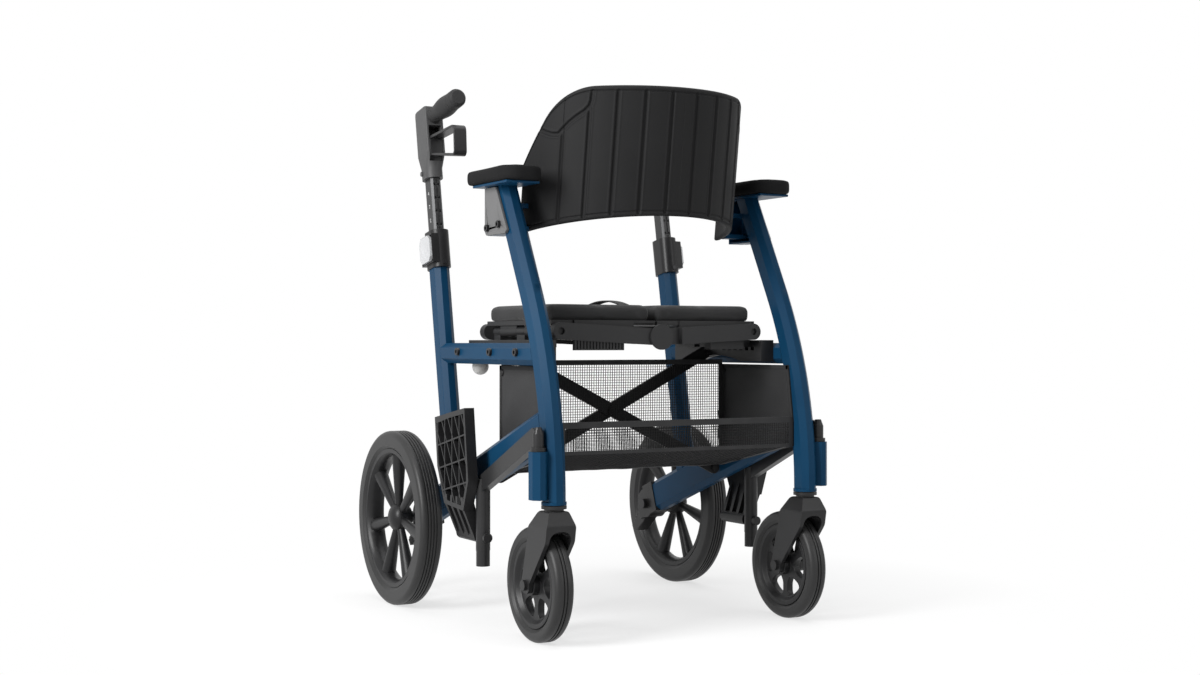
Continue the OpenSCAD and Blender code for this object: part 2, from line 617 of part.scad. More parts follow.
// Soft pads: rounded outline, drawn-in sides and a crown
function pad_side(p, q, draw) = [for (i = [1 : 3]) let (t = i / 4, d = q - p, n = [-d[1], d[0]] / norm(d))
    p + d * t + n * draw * sin(180 * t)];
function pad_ring(w, d, rf, rb, draw) = let (x = w / 2, y = d / 2) concat(
    arc([x - rf, -y + rf], rf, -90, 0, 4), pad_side([x, -y + rf], [x, y - rb], draw),
    arc([x - rb, y - rb], rb, 0, 90, 4), pad_side([x - rb, y], [-x + rb, y], draw),
    arc([-x + rb, y - rb], rb, 90, 180, 4), pad_side([-x, y - rb], [-x, -y + rf], draw),
    arc([-x + rf, -y + rf], rf, 180, 270, 4), pad_side([-x + rf, -y], [x - rf, -y], draw));
module soft_pad(w, d, h, rf, rb, draw) {
    reach = min(w, d) / 2;
    rows = concat([[2.5, 0], [0.6, 0.1 * h], [0, 0.3 * h], [0.4, 0.5 * h], [2, 0.66 * h], [5, 0.78 * h]],
        [for (t = [0.22, 0.42, 0.68, 0.9]) [t * reach, h * (0.78 + 0.22 * sin(90 * min(1, t * 1.1)))]]);
    rings = [for (row = rows) [for (p = pad_ring(w - 2 * row[0], d - 2 * row[0], max(1, rf - row[0]),
        max(1, rb - row[0]), draw)) [p[0], p[1], row[1]]]];
    n = len(rings[0]);
    m = len(rings);
    points = concat([for (ring = rings, p = ring) p], [[0, 0, 0], [0, 0, h]]);
    walls = [for (j = [0 : m - 2], i = [0 : n - 1]) let (a = j * n + i, b = j * n + (i + 1) % n)
        for (f = [[a, a + n, b], [b, a + n, b + n]]) f];
    floor_faces = [for (i = [0 : n - 1]) [m * n, i, (i + 1) % n]];
    top_faces = [for (i = [0 : n - 1]) [m * n + 1, (m - 1) * n + (i + 1) % n, (m - 1) * n + i]];
    polyhedron(points, concat(walls, floor_faces, top_faces));
}

// Armrests
arm_rear = stem_y + 213;
plate_h = 4;
pad_y = stem_y + 163.5;
pad_x = frame_x + 5.5;
module arm_bracket(s) side(s) color(blue) {
    low = arm_z - 80;
    difference() {
        across(tube_in, tube_out) polygon([[leg_y(low) - 2, low], [arm_rear, low], [arm_rear, arm_z],
            [leg_y(arm_z), arm_z]]);
        across(tube_in - 1, tube_out - 3) polygon([[leg_y(low), low + 3], [arm_rear - 3, low + 3],
            [arm_rear - 3, arm_z - 3], [leg_y(arm_z), arm_z - 3]]);
        leg_form(0);
    }
    translate([pad_x - pad_w / 2 + 10, pad_y - pad_len / 2 + 14, arm_z]) cube([pad_w - 20, pad_len - 28, plate_h]);
    // Lugs that carry the side of the backrest
    difference() {
        for (z = [arm_z - 72, arm_z - 34]) translate([back_x - 20, back_y - 19, z])
            cube([tube_out - 2 - back_x + 20, 24, 8]);
        leg_form(0);
        on_back() translate([0, 0, -150]) cylinder(r = back_r + back_t / 2 + 0.1, h = 300, $fn = 96);
    }
}

module arm_cover(s) side(s) color(grey) {
    low = arm_z - 80;
    lead = 42;
    across(tube_out, tube_out + 6) difference() {
        polygon([[arm_rear - 84, low + 6], [arm_rear - 78, low], [arm_rear - 6, low], [arm_rear, low + 6],
            [arm_rear, arm_z - 1], [arm_rear - 84 + lead, arm_z - 1]]);
        for (p = [[-14, 12], [-58, 16]]) translate([arm_rear + p[0], low + p[1]]) circle(d = 6.4);
    }
}

module armrest_pad(s) side(s) color(black) translate([pad_x, pad_y, arm_z + plate_h])
    soft_pad(pad_w, pad_len, pad_h, 0.42 * pad_w, 14, 1.5);

// Seat
base_front = front_bar_y - 4;
base_back = seat_back + 20;
base_knuckles = [[-205, -180], [-115, -85], [-20, 5]];
pan_knuckles = [[-180, -115], [-85, -20]];
function seat_y(v) = seat_back - 24 + v;

module hinge_base(s) side(s) color(black) {
    if (s < 0) buffer();
    base_block();
}

module base_block() difference() {
    low = rail_z - rail_h / 2 + 4;
    union() {
        translate([base_in, base_front, low]) cube([tube_in - base_in, base_back - base_front, base_top - low]);
        translate([hinge_x - 7, seat_y(-205), base_top - 12]) cube([base_in - hinge_x + 8, 210, 12]);
        for (k = base_knuckles) translate([hinge_x, 0, hinge_z]) {
            rod_y(barrel_d, seat_y(k[0]), seat_y(k[1]));
            translate([-7, seat_y(k[0]), base_top - hinge_z - 1]) cube([14, k[1] - k[0], hinge_z - base_top + 1]);
        }
        translate([hinge_x, 0, hinge_z]) rod_y(pin_d, seat_y(-204), seat_y(4));
    }
    // Arched underside and a row of slots
    translate([0, (base_front + base_back) / 2, low - 290]) rod_x(2 * 300, base_in - 1, tube_in + 1);
    for (i = [0 : 5]) translate([base_in - 1, base_front + 22 + i * 18, base_top - 18]) cube([12, 10, 6]);
    // Notch for the upper end of the cross bar
    translate([hinge_x - 20, bar_y - bar_t - 3, low - 30])
        cube([bar_pin_x + bar_h / 2 + 3 - hinge_x + 20, 2 * bar_t + 6, bar_pin_z + bar_h / 2 + 2 - low + 30]);
}

// Round buffer under the left hinge base
module buffer() translate([base_in + 13, base_back - 12, rail_z - rail_h / 2 - 8]) {
    sphere(d = 18);
    cylinder(d = 8, h = 16);
}

module seat_pan(s) side(s) color(black) {
    if (s < 0) middle_pins();
    pan_half(s);
}

// Pins and cover disc of the middle hinge, on the left half
module middle_pins() translate([0, 0, mid_z]) {
    for (y = [front_bar_y, rear_bar_y]) rod_y(mid_pin_d, y + seat_bar_t / 2 - 2 * slide_gap, y + seat_bar_t);
    rod_y(43, front_bar_y - 4.5, front_bar_y - 0.5);
    rod_y(mid_pin_d, front_bar_y - 1, front_bar_y + 1);
}

module pan_half(s) difference() {
    lap = 42;
    union() {
        translate([seam_half, seat_front - 5, board_low])
            cube([hinge_x + 11 - seam_half, cushion_depth + 6, board_top - board_low]);
        for (k = pan_knuckles) {
            y0 = seat_y(k[0]) + side_gap;
            y1 = seat_y(k[1]) - side_gap;
            translate([hinge_x, 0, hinge_z]) rod_y(barrel_d, y0, y1);
            translate([hinge_x - 7, y0, hinge_z]) cube([14, y1 - y0, board_low + 1 - hinge_z]);
        }
        for (y = [front_bar_y, rear_bar_y]) {
            facing(y, y + seat_bar_t) union() {
                translate([hinge_x, hinge_z]) circle(r = bar_end_r);
                translate([0, mid_z]) circle(r = bar_end_r);
                polygon([[0, mid_z - bar_end_r], [hinge_x, hinge_z - bar_end_r], [hinge_x, hinge_z + bar_end_r],
                    [0, mid_z + bar_end_r]]);
            }
        }
        translate([lap + 4, front_bar_y + 12, mid_z]) cube([hinge_x - lap - 34, 14, board_top - mid_z]);
        translate([lap + 4, seat_back - 6, mid_z])
            cube([hinge_x - lap - 34, rear_bar_y - seat_back + 12, board_top - mid_z]);
        // Ribbed apron under the left bar, latch block under the right one
        if (s < 0) difference() {
            translate([70, front_bar_y + 2, mid_z - 22]) cube([93, 7, 24]);
            for (i = [0 : 14]) translate([73 + i * 6, front_bar_y, mid_z - 20]) cube([2.5, 4, 14]);
        } else translate([108, front_bar_y + 14, mid_z - 21]) cube([68, 20, 24]);
    }
    // Lap joint at the middle hinge: front half stays on the left, rear half on the right
    for (y = [front_bar_y, rear_bar_y]) translate([-bar_end_r - 1, y + (s < 0 ? seat_bar_t / 2 - slide_gap : -1),
        mid_z - bar_end_r - 1]) cube([bar_end_r + 1 + lap, seat_bar_t / 2 + slide_gap + 1, 2 * bar_end_r + 10]);
    translate([hinge_x, 0, hinge_z]) rod_y(pin_d + 2 * run_gap, seat_y(-181), seat_y(-19));
    if (s > 0) translate([0, 0, mid_z]) rod_y(mid_pin_d + 2 * run_gap, front_bar_y - 1, rear_bar_y + 40);
    // Side pivot holes of the two bars
    translate([hinge_x, 0, hinge_z]) rod_y(12, front_bar_y - 1, front_bar_y + 5);
}

module seat_cushion(s) side(s) color(black) translate([(seam_half + hinge_x + 13) / 2 + 0.1, seat_front + cushion_depth / 2,
    board_top + 0.1]) soft_pad(hinge_x + 13 - seam_half - 0.2, cushion_depth, cushion_h, 12, 12, 1.5);

// Pull strap: two tabs that come up between the cushions and an arch between them
module seat_strap() color(black) {
    strap_w = 22;
    strap_t = 2.4;
    tab = 26;
    y0 = seat_back - 140;
    top = board_top + cushion_h + 12;
    span = 132;
    r = 240;
    for (y = [y0, y0 + span - tab]) translate([-seam_half, y, board_low]) cube([1.6, tab, top - 10 - board_low]);
    facing_arc = arc([0, 0], r, 90 - asin(span / 2 / r), 90 + asin(span / 2 / r), 10);
    inner_arc = arc([0, 0], r - strap_t, 90 + asin(span / 2 / r), 90 - asin(span / 2 / r), 10);
    translate([-strap_w / 2, y0 + span / 2, top - r]) across(0, strap_w) polygon(concat(facing_arc, inner_arc));
}

// Cross brace
module cross_bar(s) side(s) color(black) {
    y0 = s < 0 ? bar_y - bar_t - 0.5 : bar_y + 0.5;
    length = (bar_pin_x + bar_low_x) / cos(bar_slope);
    head_y = s < 0 ? y0 - 5 : y0 + bar_t;
    translate([bar_pin_x, 0, bar_pin_z]) rotate([0, -bar_slope, 0]) {
        difference() {
            facing(y0, y0 + bar_t) union() {
                circle(d = bar_h);
                translate([-length, 0]) circle(d = bar_h);
                translate([-length, -bar_h / 2]) square([length, bar_h]);
            }
            rod_y(pin_d + 2 * run_gap, y0 - 1, y0 + bar_t + 1);
        }
        translate([-bar_pin_x / cos(bar_slope), 0, 0]) rod_y(16, head_y, head_y + 5);
        translate([-length, 0, 0]) rod_y(13, head_y, head_y + 5);
    }
}

// Basket
basket_top = rail_z - rail_h / 2 - 2;
basket_back = bar_y - 18;
basket_front = basket_back - basket_len;
basket_low_back = bar_low_z + 6;
basket_low_front = basket_low_back + 46;
module basket_panel(s) side(s) color(black) {
    slope = (basket_low_front - basket_low_back) / basket_len;
    across(tube_in - 0.3 - fabric_t, tube_in - 0.3) polygon([[basket_front, basket_low_front],
        [basket_back, basket_low_back], [basket_back, basket_top], [basket_front + 42, basket_top],
        [basket_front, basket_top - 76]]);
}

// Net with square gaps and a solid hem, drawn from its lower left corner
module net(w, h, nx, ny, hem) {
    px = (w - 2 * hem) / nx;
    py = (h - 2 * hem) / ny;
    cord = 3;
    corners = [[0, 0], [px - cord, 0], [px - cord, py - cord], [0, py - cord]];
    points = concat([[0, 0], [w, 0], [w, h], [0, h]],
        [for (i = [0 : nx - 1], j = [0 : ny - 1], c = corners) [hem + i * px + cord / 2, hem + j * py + cord / 2] + c]);
    polygon(points, concat([[0, 1, 2, 3]], [for (k = [0 : nx * ny - 1]) [for (m = [0 : 3]) 4 + 4 * k + m]]));
}

module basket_net() color(black) {
    half = tube_in - 0.6 - fabric_t;
    tilt = atan((basket_low_front - basket_low_back) / basket_len);
    run = (basket_len - 2 * fabric_t - 0.6) / cos(tilt);
    translate([-half, 0, 0]) facing(basket_back - fabric_t, basket_back) translate([0, basket_low_back])
        net(2 * half, basket_top - basket_low_back, 12, 5, 10);
    translate([-half, basket_back - fabric_t - 0.3, basket_low_back]) rotate([180 - tilt, 0, 0])
        translate([0, 0, -fabric_t]) linear_extrude(fabric_t) net(2 * half, run, 12, 5, 8);
    translate([-half, 0, 0]) facing(basket_front, basket_front + fabric_t) translate([0, basket_low_front])
        net(2 * half, 62, 14, 2, 9);
}

// Backrest: bowed sheet with panel grooves, a rounded upper corner and an arched lower edge
function back_top(a) = back_top_z - back_round * (1 - sqrt(1 - pow((a - round_from) / (back_end - round_from), 2)));
// Place across X of the sheet's middle at angle a and height z
function back_point(a, z) = let (y = -back_r * cos(a), up = (z - back_ref_z - y * sin(back_lean)) / cos(back_lean))
    [back_mid_y + y * cos(back_lean) - up * sin(back_lean), z];
module back_sheet(a0, a1) difference() {
    low_z = back_ref_z - 47;
    rise = 24;
    groove = 2;
    on_back() difference() {
        translate([0, 0, -120]) rotate([0, 0, a0 - 90]) rotate_extrude(angle = a1 - a0, $fn = 96)
            translate([back_r - back_t / 2, 0]) square([back_t, 400]);
        for (i = [0 : 5]) if ((i + 0.5) * groove_pitch > a0 && (i + 0.5) * groove_pitch < a1)
            rotate([0, 0, (i + 0.5) * groove_pitch - 90]) translate([back_r + back_t / 2 - groove, -1, -121])
                cube([10, 2, 402]);
    }
    translate([-1, -overall, back_top_z]) cube([frame_track, 2 * overall, 300]);
    across(back_x * 0.5, frame_track) polygon(concat(
        [for (i = [0 : 12]) let (a = round_from + (back_end - round_from) * sin(i * 7.5)) back_point(a, back_top(a))],
        [[back_y + 60, back_top_z - back_round], [back_y + 60, back_top_z + 50],
        [back_point(round_from, back_top_z)[0], back_top_z + 50]]));
    across(-1, frame_track) polygon([[back_y + 60, low_z], [back_y, low_z], [back_y - back_depth, low_z + rise],
        [back_y - back_depth - 60, low_z + rise], [back_y - back_depth - 60, low_z - 200], [back_y + 60, low_z - 200]]);
}
module backrest(s) side(s) color(black) back_sheet(0.1, back_seam - 0.1);
// Side of the backrest, fixed to the arm bracket
module back_side(s) side(s) color(black) back_sheet(back_seam + 0.1, back_end);

// Footrests
module footrest_hanger(s) side(s) color(black) translate([post_x, stem_y, 0]) {
    arm_t = 14;
    arm_h = 26;
    rise = socket_top + 41;
    fall = hanger_reach * tan(hanger_slope);
    tube_low = foot_hinge_z - 48;
    tip_len = 26;
    translate([0, 0, socket_z + 3]) cylinder(d = post_d, h = rise - socket_z - 17);
    translate([0, 0, socket_top + slide_gap]) cylinder(r = post_x - tube_out - slide_gap, h = 6);
    translate([0, 0, rise - 14]) cylinder(d1 = post_d, d2 = post_d - 8, h = 11);
    across(-arm_t / 2, arm_t / 2) polygon([[0, rise - 6], [8, rise - 4], [hanger_reach - 5, rise - fall + 3],
        [hanger_reach + 9, rise - fall - 6], [hanger_reach + 9, rise - fall - arm_h],
        [hanger_reach - 5, rise - fall - arm_h], [8, rise - 9 - arm_h], [0, rise - 6 - arm_h]]);
    translate([0, hanger_reach, tube_low + tip_len]) cylinder(d = foot_tube_d, h = rise - fall - 4 - tube_low - tip_len);
    translate([0, hanger_reach, tube_low]) cylinder(d = foot_tube_d - 1, h = tip_len);
    translate([0, hanger_reach, foot_hinge_z]) {
        rod_y(10, -foot_tube_d / 2 - 3, foot_tube_d / 2 + 76);
        rod_y(16, -foot_tube_d / 2 - 8, -foot_tube_d / 2 - 2);
    }
}

// Footplate, folded up: ribbed underside faces outboard
plate_outline = [[131, 195], [7, 215], [-9, 95], [11, 44], [90, 50], [120, 111]];
module plate_shape() translate([0, foot_hinge_z]) polygon(plate_outline);
module footplate(s) side(s) color(dark) translate([0, foot_tube_y, 0]) {
    skin = 6;
    rib = 2.6;
    mid = [58, foot_hinge_z + 120];
    y0 = foot_tube_d / 2 + side_gap;
    y1 = y0 + 74;
    across(plate_in, plate_in + skin) plate_shape();
    across(plate_in + skin, plate_in + plate_t) intersection() {
        plate_shape();
        union() {
            difference() {
                plate_shape();
                translate(mid) scale(0.9) translate(-mid) plate_shape();
            }
            for (k = [-4 : 4]) translate(mid + [k * 30, 0]) rotate(-32) square([rib, 320], center = true);
            for (k = [-2 : 2]) translate(mid + [k * 30, 0]) square([rib, 320], center = true);
            for (k = [-2 : 2]) translate(mid + [0, k * 40]) rotate(-12) square([220, rib], center = true);
        }
    }
    difference() {
        union() {
            translate([post_x, 0, foot_hinge_z]) rod_y(21, y0, y1);
            for (y = [y0, y0 + 22, y0 + 44, y1 - 8]) facing(y, y + 8) polygon([[post_x - 6, foot_hinge_z + 4],
                [post_x + 8, foot_hinge_z - 6], [plate_in + plate_t, foot_hinge_z + 50], [plate_in + plate_t,
                foot_hinge_z + 66], [plate_in + 0.5, foot_hinge_z + 66]]);
            facing(y0, y1) polygon([[post_x + 2, foot_hinge_z + 4], [post_x + 8, foot_hinge_z - 2],
                [plate_in + 8, foot_hinge_z + 46], [plate_in + 8, foot_hinge_z + 60], [plate_in + 0.5, foot_hinge_z + 60]]);
        }
        translate([post_x, 0, foot_hinge_z]) rod_y(10 + 2 * run_gap, y0 - 1, y1 + 1);
    }
}

// Bolt head with a hexagon socket
module socket_bolt(d, x0, h) difference() {
    rod_x(d, x0, x0 + h);
    translate([x0 + h - 2.5, 0, 0]) rotate([0, 90, 0]) cylinder(d = d * 0.55, h = 3, $fn = 6);
}

// Bolts of one side frame, with the rear axle bolt and its spacer
module fasteners(s) side(s) color(dark) {
    head = 5;
    translate([0, rear_y, rear_z]) {
        rod_x(rear_axle_d, frame_x - cap_w / 2 - 2, rear_x + rear_hub_half - 8);
        rod_x(19, frame_x - cap_w / 2 - 8, frame_x - cap_w / 2);
        rod_x(20, frame_x + cap_w / 2, rear_x - rear_hub_half - slide_gap);
    }
    for (y = [seat_y(21), seat_y(-110), seat_y(-209)]) translate([0, y, rail_z + 3]) socket_bolt(13, tube_out, head);
    for (p = [[-14, 12], [-58, 16]]) translate([0, arm_rear + p[0], arm_z - 80 + p[1]])
        socket_bolt(12, tube_out + 6, head);
    on_lower() translate([0, -lower_stop - 12, lower_lift + 14]) socket_bolt(11, tube_w / 2, 3.5);
    on_upright() translate([0, 0, collar_low + 8]) rod_y(8, -collar_d / 2 - 2, -collar_d / 2);
    // Pin in the hinge base for this side's cross bar
    translate([bar_pin_x, 0, bar_pin_z]) rod_y(pin_d, bar_y - bar_t - 3, bar_y + bar_t + 3);
}

front_leg(-1);  // left_front_leg
rear_upright(-1);  // left_rear_upright
lower_tube(-1);  // left_lower_tube
side_rail(-1);  // left_side_rail
axle_cap(-1);  // left_axle_cap
rear_tyre(-1);  // left_rear_tyre
rear_rim(-1);  // left_rear_rim
caster_fork(-1);  // left_caster_fork
caster_tyre(-1);  // left_caster_tyre
caster_rim(-1);  // left_caster_rim
collar(-1);  // left_collar
height_button(-1);  // left_height_button
handle_stem(-1);  // left_handle_stem
handle_body(-1);  // left_handle_body
grip(-1);  // left_grip
brake_lever(-1);  // left_brake_lever
arm_bracket(-1);  // left_arm_bracket
arm_cover(-1);  // left_arm_cover
armrest_pad(-1);  // left_armrest_pad
hinge_base(-1);  // left_hinge_base
seat_pan(-1);  // left_seat_pan
seat_cushion(-1);  // left_seat_cushion
cross_bar(-1);  // left_cross_bar
basket_panel(-1);  // left_basket_panel
backrest(-1);  // left_backrest
back_side(-1);  // left_back_side
footrest_hanger(-1);  // left_footrest_hanger
footplate(-1);  // left_footplate
fasteners(-1);  // left_fasteners
front_leg(1);  // right_front_leg
rear_upright(1);  // right_rear_upright
lower_tube(1);  // right_lower_tube
side_rail(1);  // right_side_rail
axle_cap(1);  // right_axle_cap
rear_tyre(1);  // right_rear_tyre
rear_rim(1);  // right_rear_rim
caster_fork(1);  // right_caster_fork
caster_tyre(1);  // right_caster_tyre
caster_rim(1);  // right_caster_rim
collar(1);  // right_collar
height_button(1);  // right_height_button
handle_stem(1);  // right_handle_stem
handle_body(1);  // right_handle_body
grip(1);  // right_grip
brake_lever(1);  // right_brake_lever
arm_bracket(1);  // right_arm_bracket
arm_cover(1);  // right_arm_cover
armrest_pad(1);  // right_armrest_pad
hinge_base(1);  // right_hinge_base
seat_pan(1);  // right_seat_pan
seat_cushion(1);  // right_seat_cushion
cross_bar(1);  // right_cross_bar
basket_panel(1);  // right_basket_panel
backrest(1);  // right_backrest
back_side(1);  // right_back_side
footrest_hanger(1);  // right_footrest_hanger
footplate(1);  // right_footplate
fasteners(1);  // right_fasteners
seat_strap();
basket_net();
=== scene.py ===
"""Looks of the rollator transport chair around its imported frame. Metres, +Z up, -Y towards the casters."""
import json
import math
import bmesh
import bpy
from mathutils import Matrix, Vector, noise


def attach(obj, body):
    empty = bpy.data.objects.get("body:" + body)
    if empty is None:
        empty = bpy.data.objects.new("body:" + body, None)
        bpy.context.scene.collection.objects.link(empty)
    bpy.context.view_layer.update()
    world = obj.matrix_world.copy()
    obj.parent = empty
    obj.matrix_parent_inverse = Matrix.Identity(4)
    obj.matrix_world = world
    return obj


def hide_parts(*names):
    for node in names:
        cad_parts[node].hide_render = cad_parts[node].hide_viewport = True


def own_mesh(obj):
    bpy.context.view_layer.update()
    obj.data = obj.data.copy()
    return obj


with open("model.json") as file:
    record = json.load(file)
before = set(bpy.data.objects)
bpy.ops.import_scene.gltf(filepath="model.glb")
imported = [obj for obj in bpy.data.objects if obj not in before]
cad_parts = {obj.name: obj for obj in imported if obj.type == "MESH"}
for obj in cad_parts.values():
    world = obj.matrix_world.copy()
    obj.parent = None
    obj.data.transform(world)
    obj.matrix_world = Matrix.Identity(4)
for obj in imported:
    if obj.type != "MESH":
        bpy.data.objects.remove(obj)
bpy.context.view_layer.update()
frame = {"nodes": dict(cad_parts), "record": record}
nodes = frame["nodes"]
scene = bpy.context.scene
SIDES = (("left", -1.0), ("right", 1.0))
X_AXIS = Vector((1, 0, 0))

# Places taken over from the part's source
FRAME_X = 0.241
UPRIGHT_Y = 0.11245
RAIL_Z = 0.457
LEAN = math.radians(10.5)
SEAT_FRONT = -0.21505
SEAT_BACK = 0.02395
BOARD_TOP = 0.5127


def place(name, data):
    """New object of the scene."""
    ob = bpy.data.objects.new(name, data)
    scene.collection.objects.link(ob)
    return ob


def aimed(direction):
    """Turn of a camera or lamp that looks along a direction."""
    return Vector(direction).to_track_quat("-Z", "Y").to_euler()


# Camera
CAMERA_AT = (-1.396, -2.5512, 0.4758)
CAMERA_LOOK = (0.4836, 0.8753, 0.0031)
CAMERA_LENS = 48.35
CAMERA_SENSOR = 36.0
CAMERA_CLIP = (0.05, 60.0)

cam_data = bpy.data.cameras.new("camera")
cam = place("camera", cam_data)
cam.location = CAMERA_AT
cam.rotation_euler = aimed(CAMERA_LOOK)
cam_data.sensor_width = CAMERA_SENSOR
cam_data.sensor_fit = "HORIZONTAL"
cam_data.lens = CAMERA_LENS
cam_data.clip_start, cam_data.clip_end = CAMERA_CLIP
scene.camera = cam
scene.view_settings.view_transform = "Standard"


# Materials
NOISE_ROUGH = 0.55
SLOW_DETAIL, FINE_DETAIL = 4.0, 2.0
MIX_FAC, MIX_A, MIX_B, MIX_RESULT = 0, 6, 7, 2
BLOTCH_SCALE = 7.0
GLOSS_SPREAD = 0.06
GRAIN_BUMP = 0.5
WAVE_RADIANS = 20.0
YARN_WOBBLE = 0.4
YARN_BUMP = 0.55
FUZZ_BUMP, FUZZ_DEPTH = 0.25, 0.6
CLOTH_BLOTCH = 18.0
CLOTH_FUZZ = 900.0
CLOTH_GLOSS_SPREAD = 0.08
CLOTH_SPEC = 0.25


def new_material(name):
    m = bpy.data.materials.new(name)
    m.use_nodes = True
    nt = m.node_tree
    return m, nt, nt.nodes["Principled BSDF"]


def coords(nt):
    return nt.nodes.new("ShaderNodeTexCoord").outputs["Object"]


def noise_node(nt, vec, scale, detail):
    n = nt.nodes.new("ShaderNodeTexNoise")
    n.inputs["Scale"].default_value = scale
    n.inputs["Detail"].default_value = detail
    n.inputs["Roughness"].default_value = NOISE_ROUGH
    nt.links.new(vec, n.inputs["Vector"])
    return n.outputs["Fac"]


def ramp(nt, fac, lo, hi, a, b):
    """Maps lo to a and hi to b, straight in between and level outside."""
    r = nt.nodes.new("ShaderNodeMapRange")
    r.inputs["From Min"].default_value = lo
    r.inputs["From Max"].default_value = hi
    r.inputs["To Min"].default_value = a
    r.inputs["To Max"].default_value = b
    nt.links.new(fac, r.inputs["Value"])
    return r.outputs["Result"]


def colour_mix(nt, fac, c0, c1):
    m = nt.nodes.new("ShaderNodeMix")
    m.data_type = "RGBA"
    m.inputs[MIX_A].default_value = (*c0, 1.0)
    m.inputs[MIX_B].default_value = (*c1, 1.0)
    nt.links.new(fac, m.inputs[MIX_FAC])
    return m.outputs[MIX_RESULT]


def bump(nt, height, strength, distance, normal=None):
    b = nt.nodes.new("ShaderNodeBump")
    b.inputs["Strength"].default_value = strength
    b.inputs["Distance"].default_value = distance
    nt.links.new(height, b.inputs["Height"])
    if normal is not None:
        nt.links.new(normal, b.inputs["Normal"])
    return b.outputs["Normal"]


def wave(nt, vec, period, direction):
    w = nt.nodes.new("ShaderNodeTexWave")
    w.wave_type = "BANDS"
    w.bands_direction = direction
    w.inputs["Scale"].default_value = 2 * math.pi / (WAVE_RADIANS * period)
    w.inputs["Distortion"].default_value = YARN_WOBBLE
    nt.links.new(vec, w.inputs["Vector"])
    return w.outputs["Fac"]


def maths(nt, op, a, b):
    m = nt.nodes.new("ShaderNodeMath")
    m.operation = op
    nt.links.new(a, m.inputs[0])
    nt.links.new(b, m.inputs[1])
    return m.outputs[0]


def moulded(name, tones, rough, grain, depth, metallic=0.0, spec=0.5):
    """Moulded or coated surface: fine grain, slow change of tone, uneven gloss."""
    m, nt, p = new_material(name)
    v = coords(nt)
    slow = noise_node(nt, v, BLOTCH_SCALE, SLOW_DETAIL)
    fine = noise_node(nt, v, grain, FINE_DETAIL)
    nt.links.new(colour_mix(nt, ramp(nt, slow, 0.3, 0.7, 0.0, 1.0), *tones), p.inputs["Base Color"])
    gloss = ramp(nt, slow, 0.25, 0.75, rough - GLOSS_SPREAD, rough + GLOSS_SPREAD)
    nt.links.new(gloss, p.inputs["Roughness"])
    nt.links.new(bump(nt, fine, GRAIN_BUMP, depth), p.inputs["Normal"])
    p.inputs["Metallic"].default_value = metallic
    p.inputs["Specular IOR Level"].default_value = spec
    return m


def woven(name, tones, period, depth, sheen, rough=0.85, axes="XY"):
    """Woven cloth: two crossing sets of yarns, tone that varies from yarn to yarn and over the piece."""
    m, nt, p = new_material(name)
    v = coords(nt)
    a = wave(nt, v, period, axes[0])
    b = wave(nt, v, period, axes[1])
    yarn = maths(nt, "MAXIMUM", a, b)
    slow = noise_node(nt, v, CLOTH_BLOTCH, SLOW_DETAIL)
    fuzz = noise_node(nt, v, CLOTH_FUZZ, FINE_DETAIL)
    yarn_tone = ramp(nt, yarn, 0.2, 1.0, 0.35, 1.0)
    slow_tone = ramp(nt, slow, 0.25, 0.75, 0.55, 1.0)
    tone = maths(nt, "MULTIPLY", yarn_tone, slow_tone)
    nt.links.new(colour_mix(nt, tone, *tones), p.inputs["Base Color"])
    gloss = ramp(nt, fuzz, 0.2, 0.8, rough - CLOTH_GLOSS_SPREAD, rough + CLOTH_GLOSS_SPREAD)
    nt.links.new(gloss, p.inputs["Roughness"])
    n = bump(nt, yarn, YARN_BUMP, depth)
    nt.links.new(bump(nt, fuzz, FUZZ_BUMP, depth * FUZZ_DEPTH, n), p.inputs["Normal"])
    p.inputs["Sheen Weight"].default_value = sheen
    p.inputs["Sheen Roughness"].default_value = 0.5
    p.inputs["Specular IOR Level"].default_value = CLOTH_SPEC
    return m


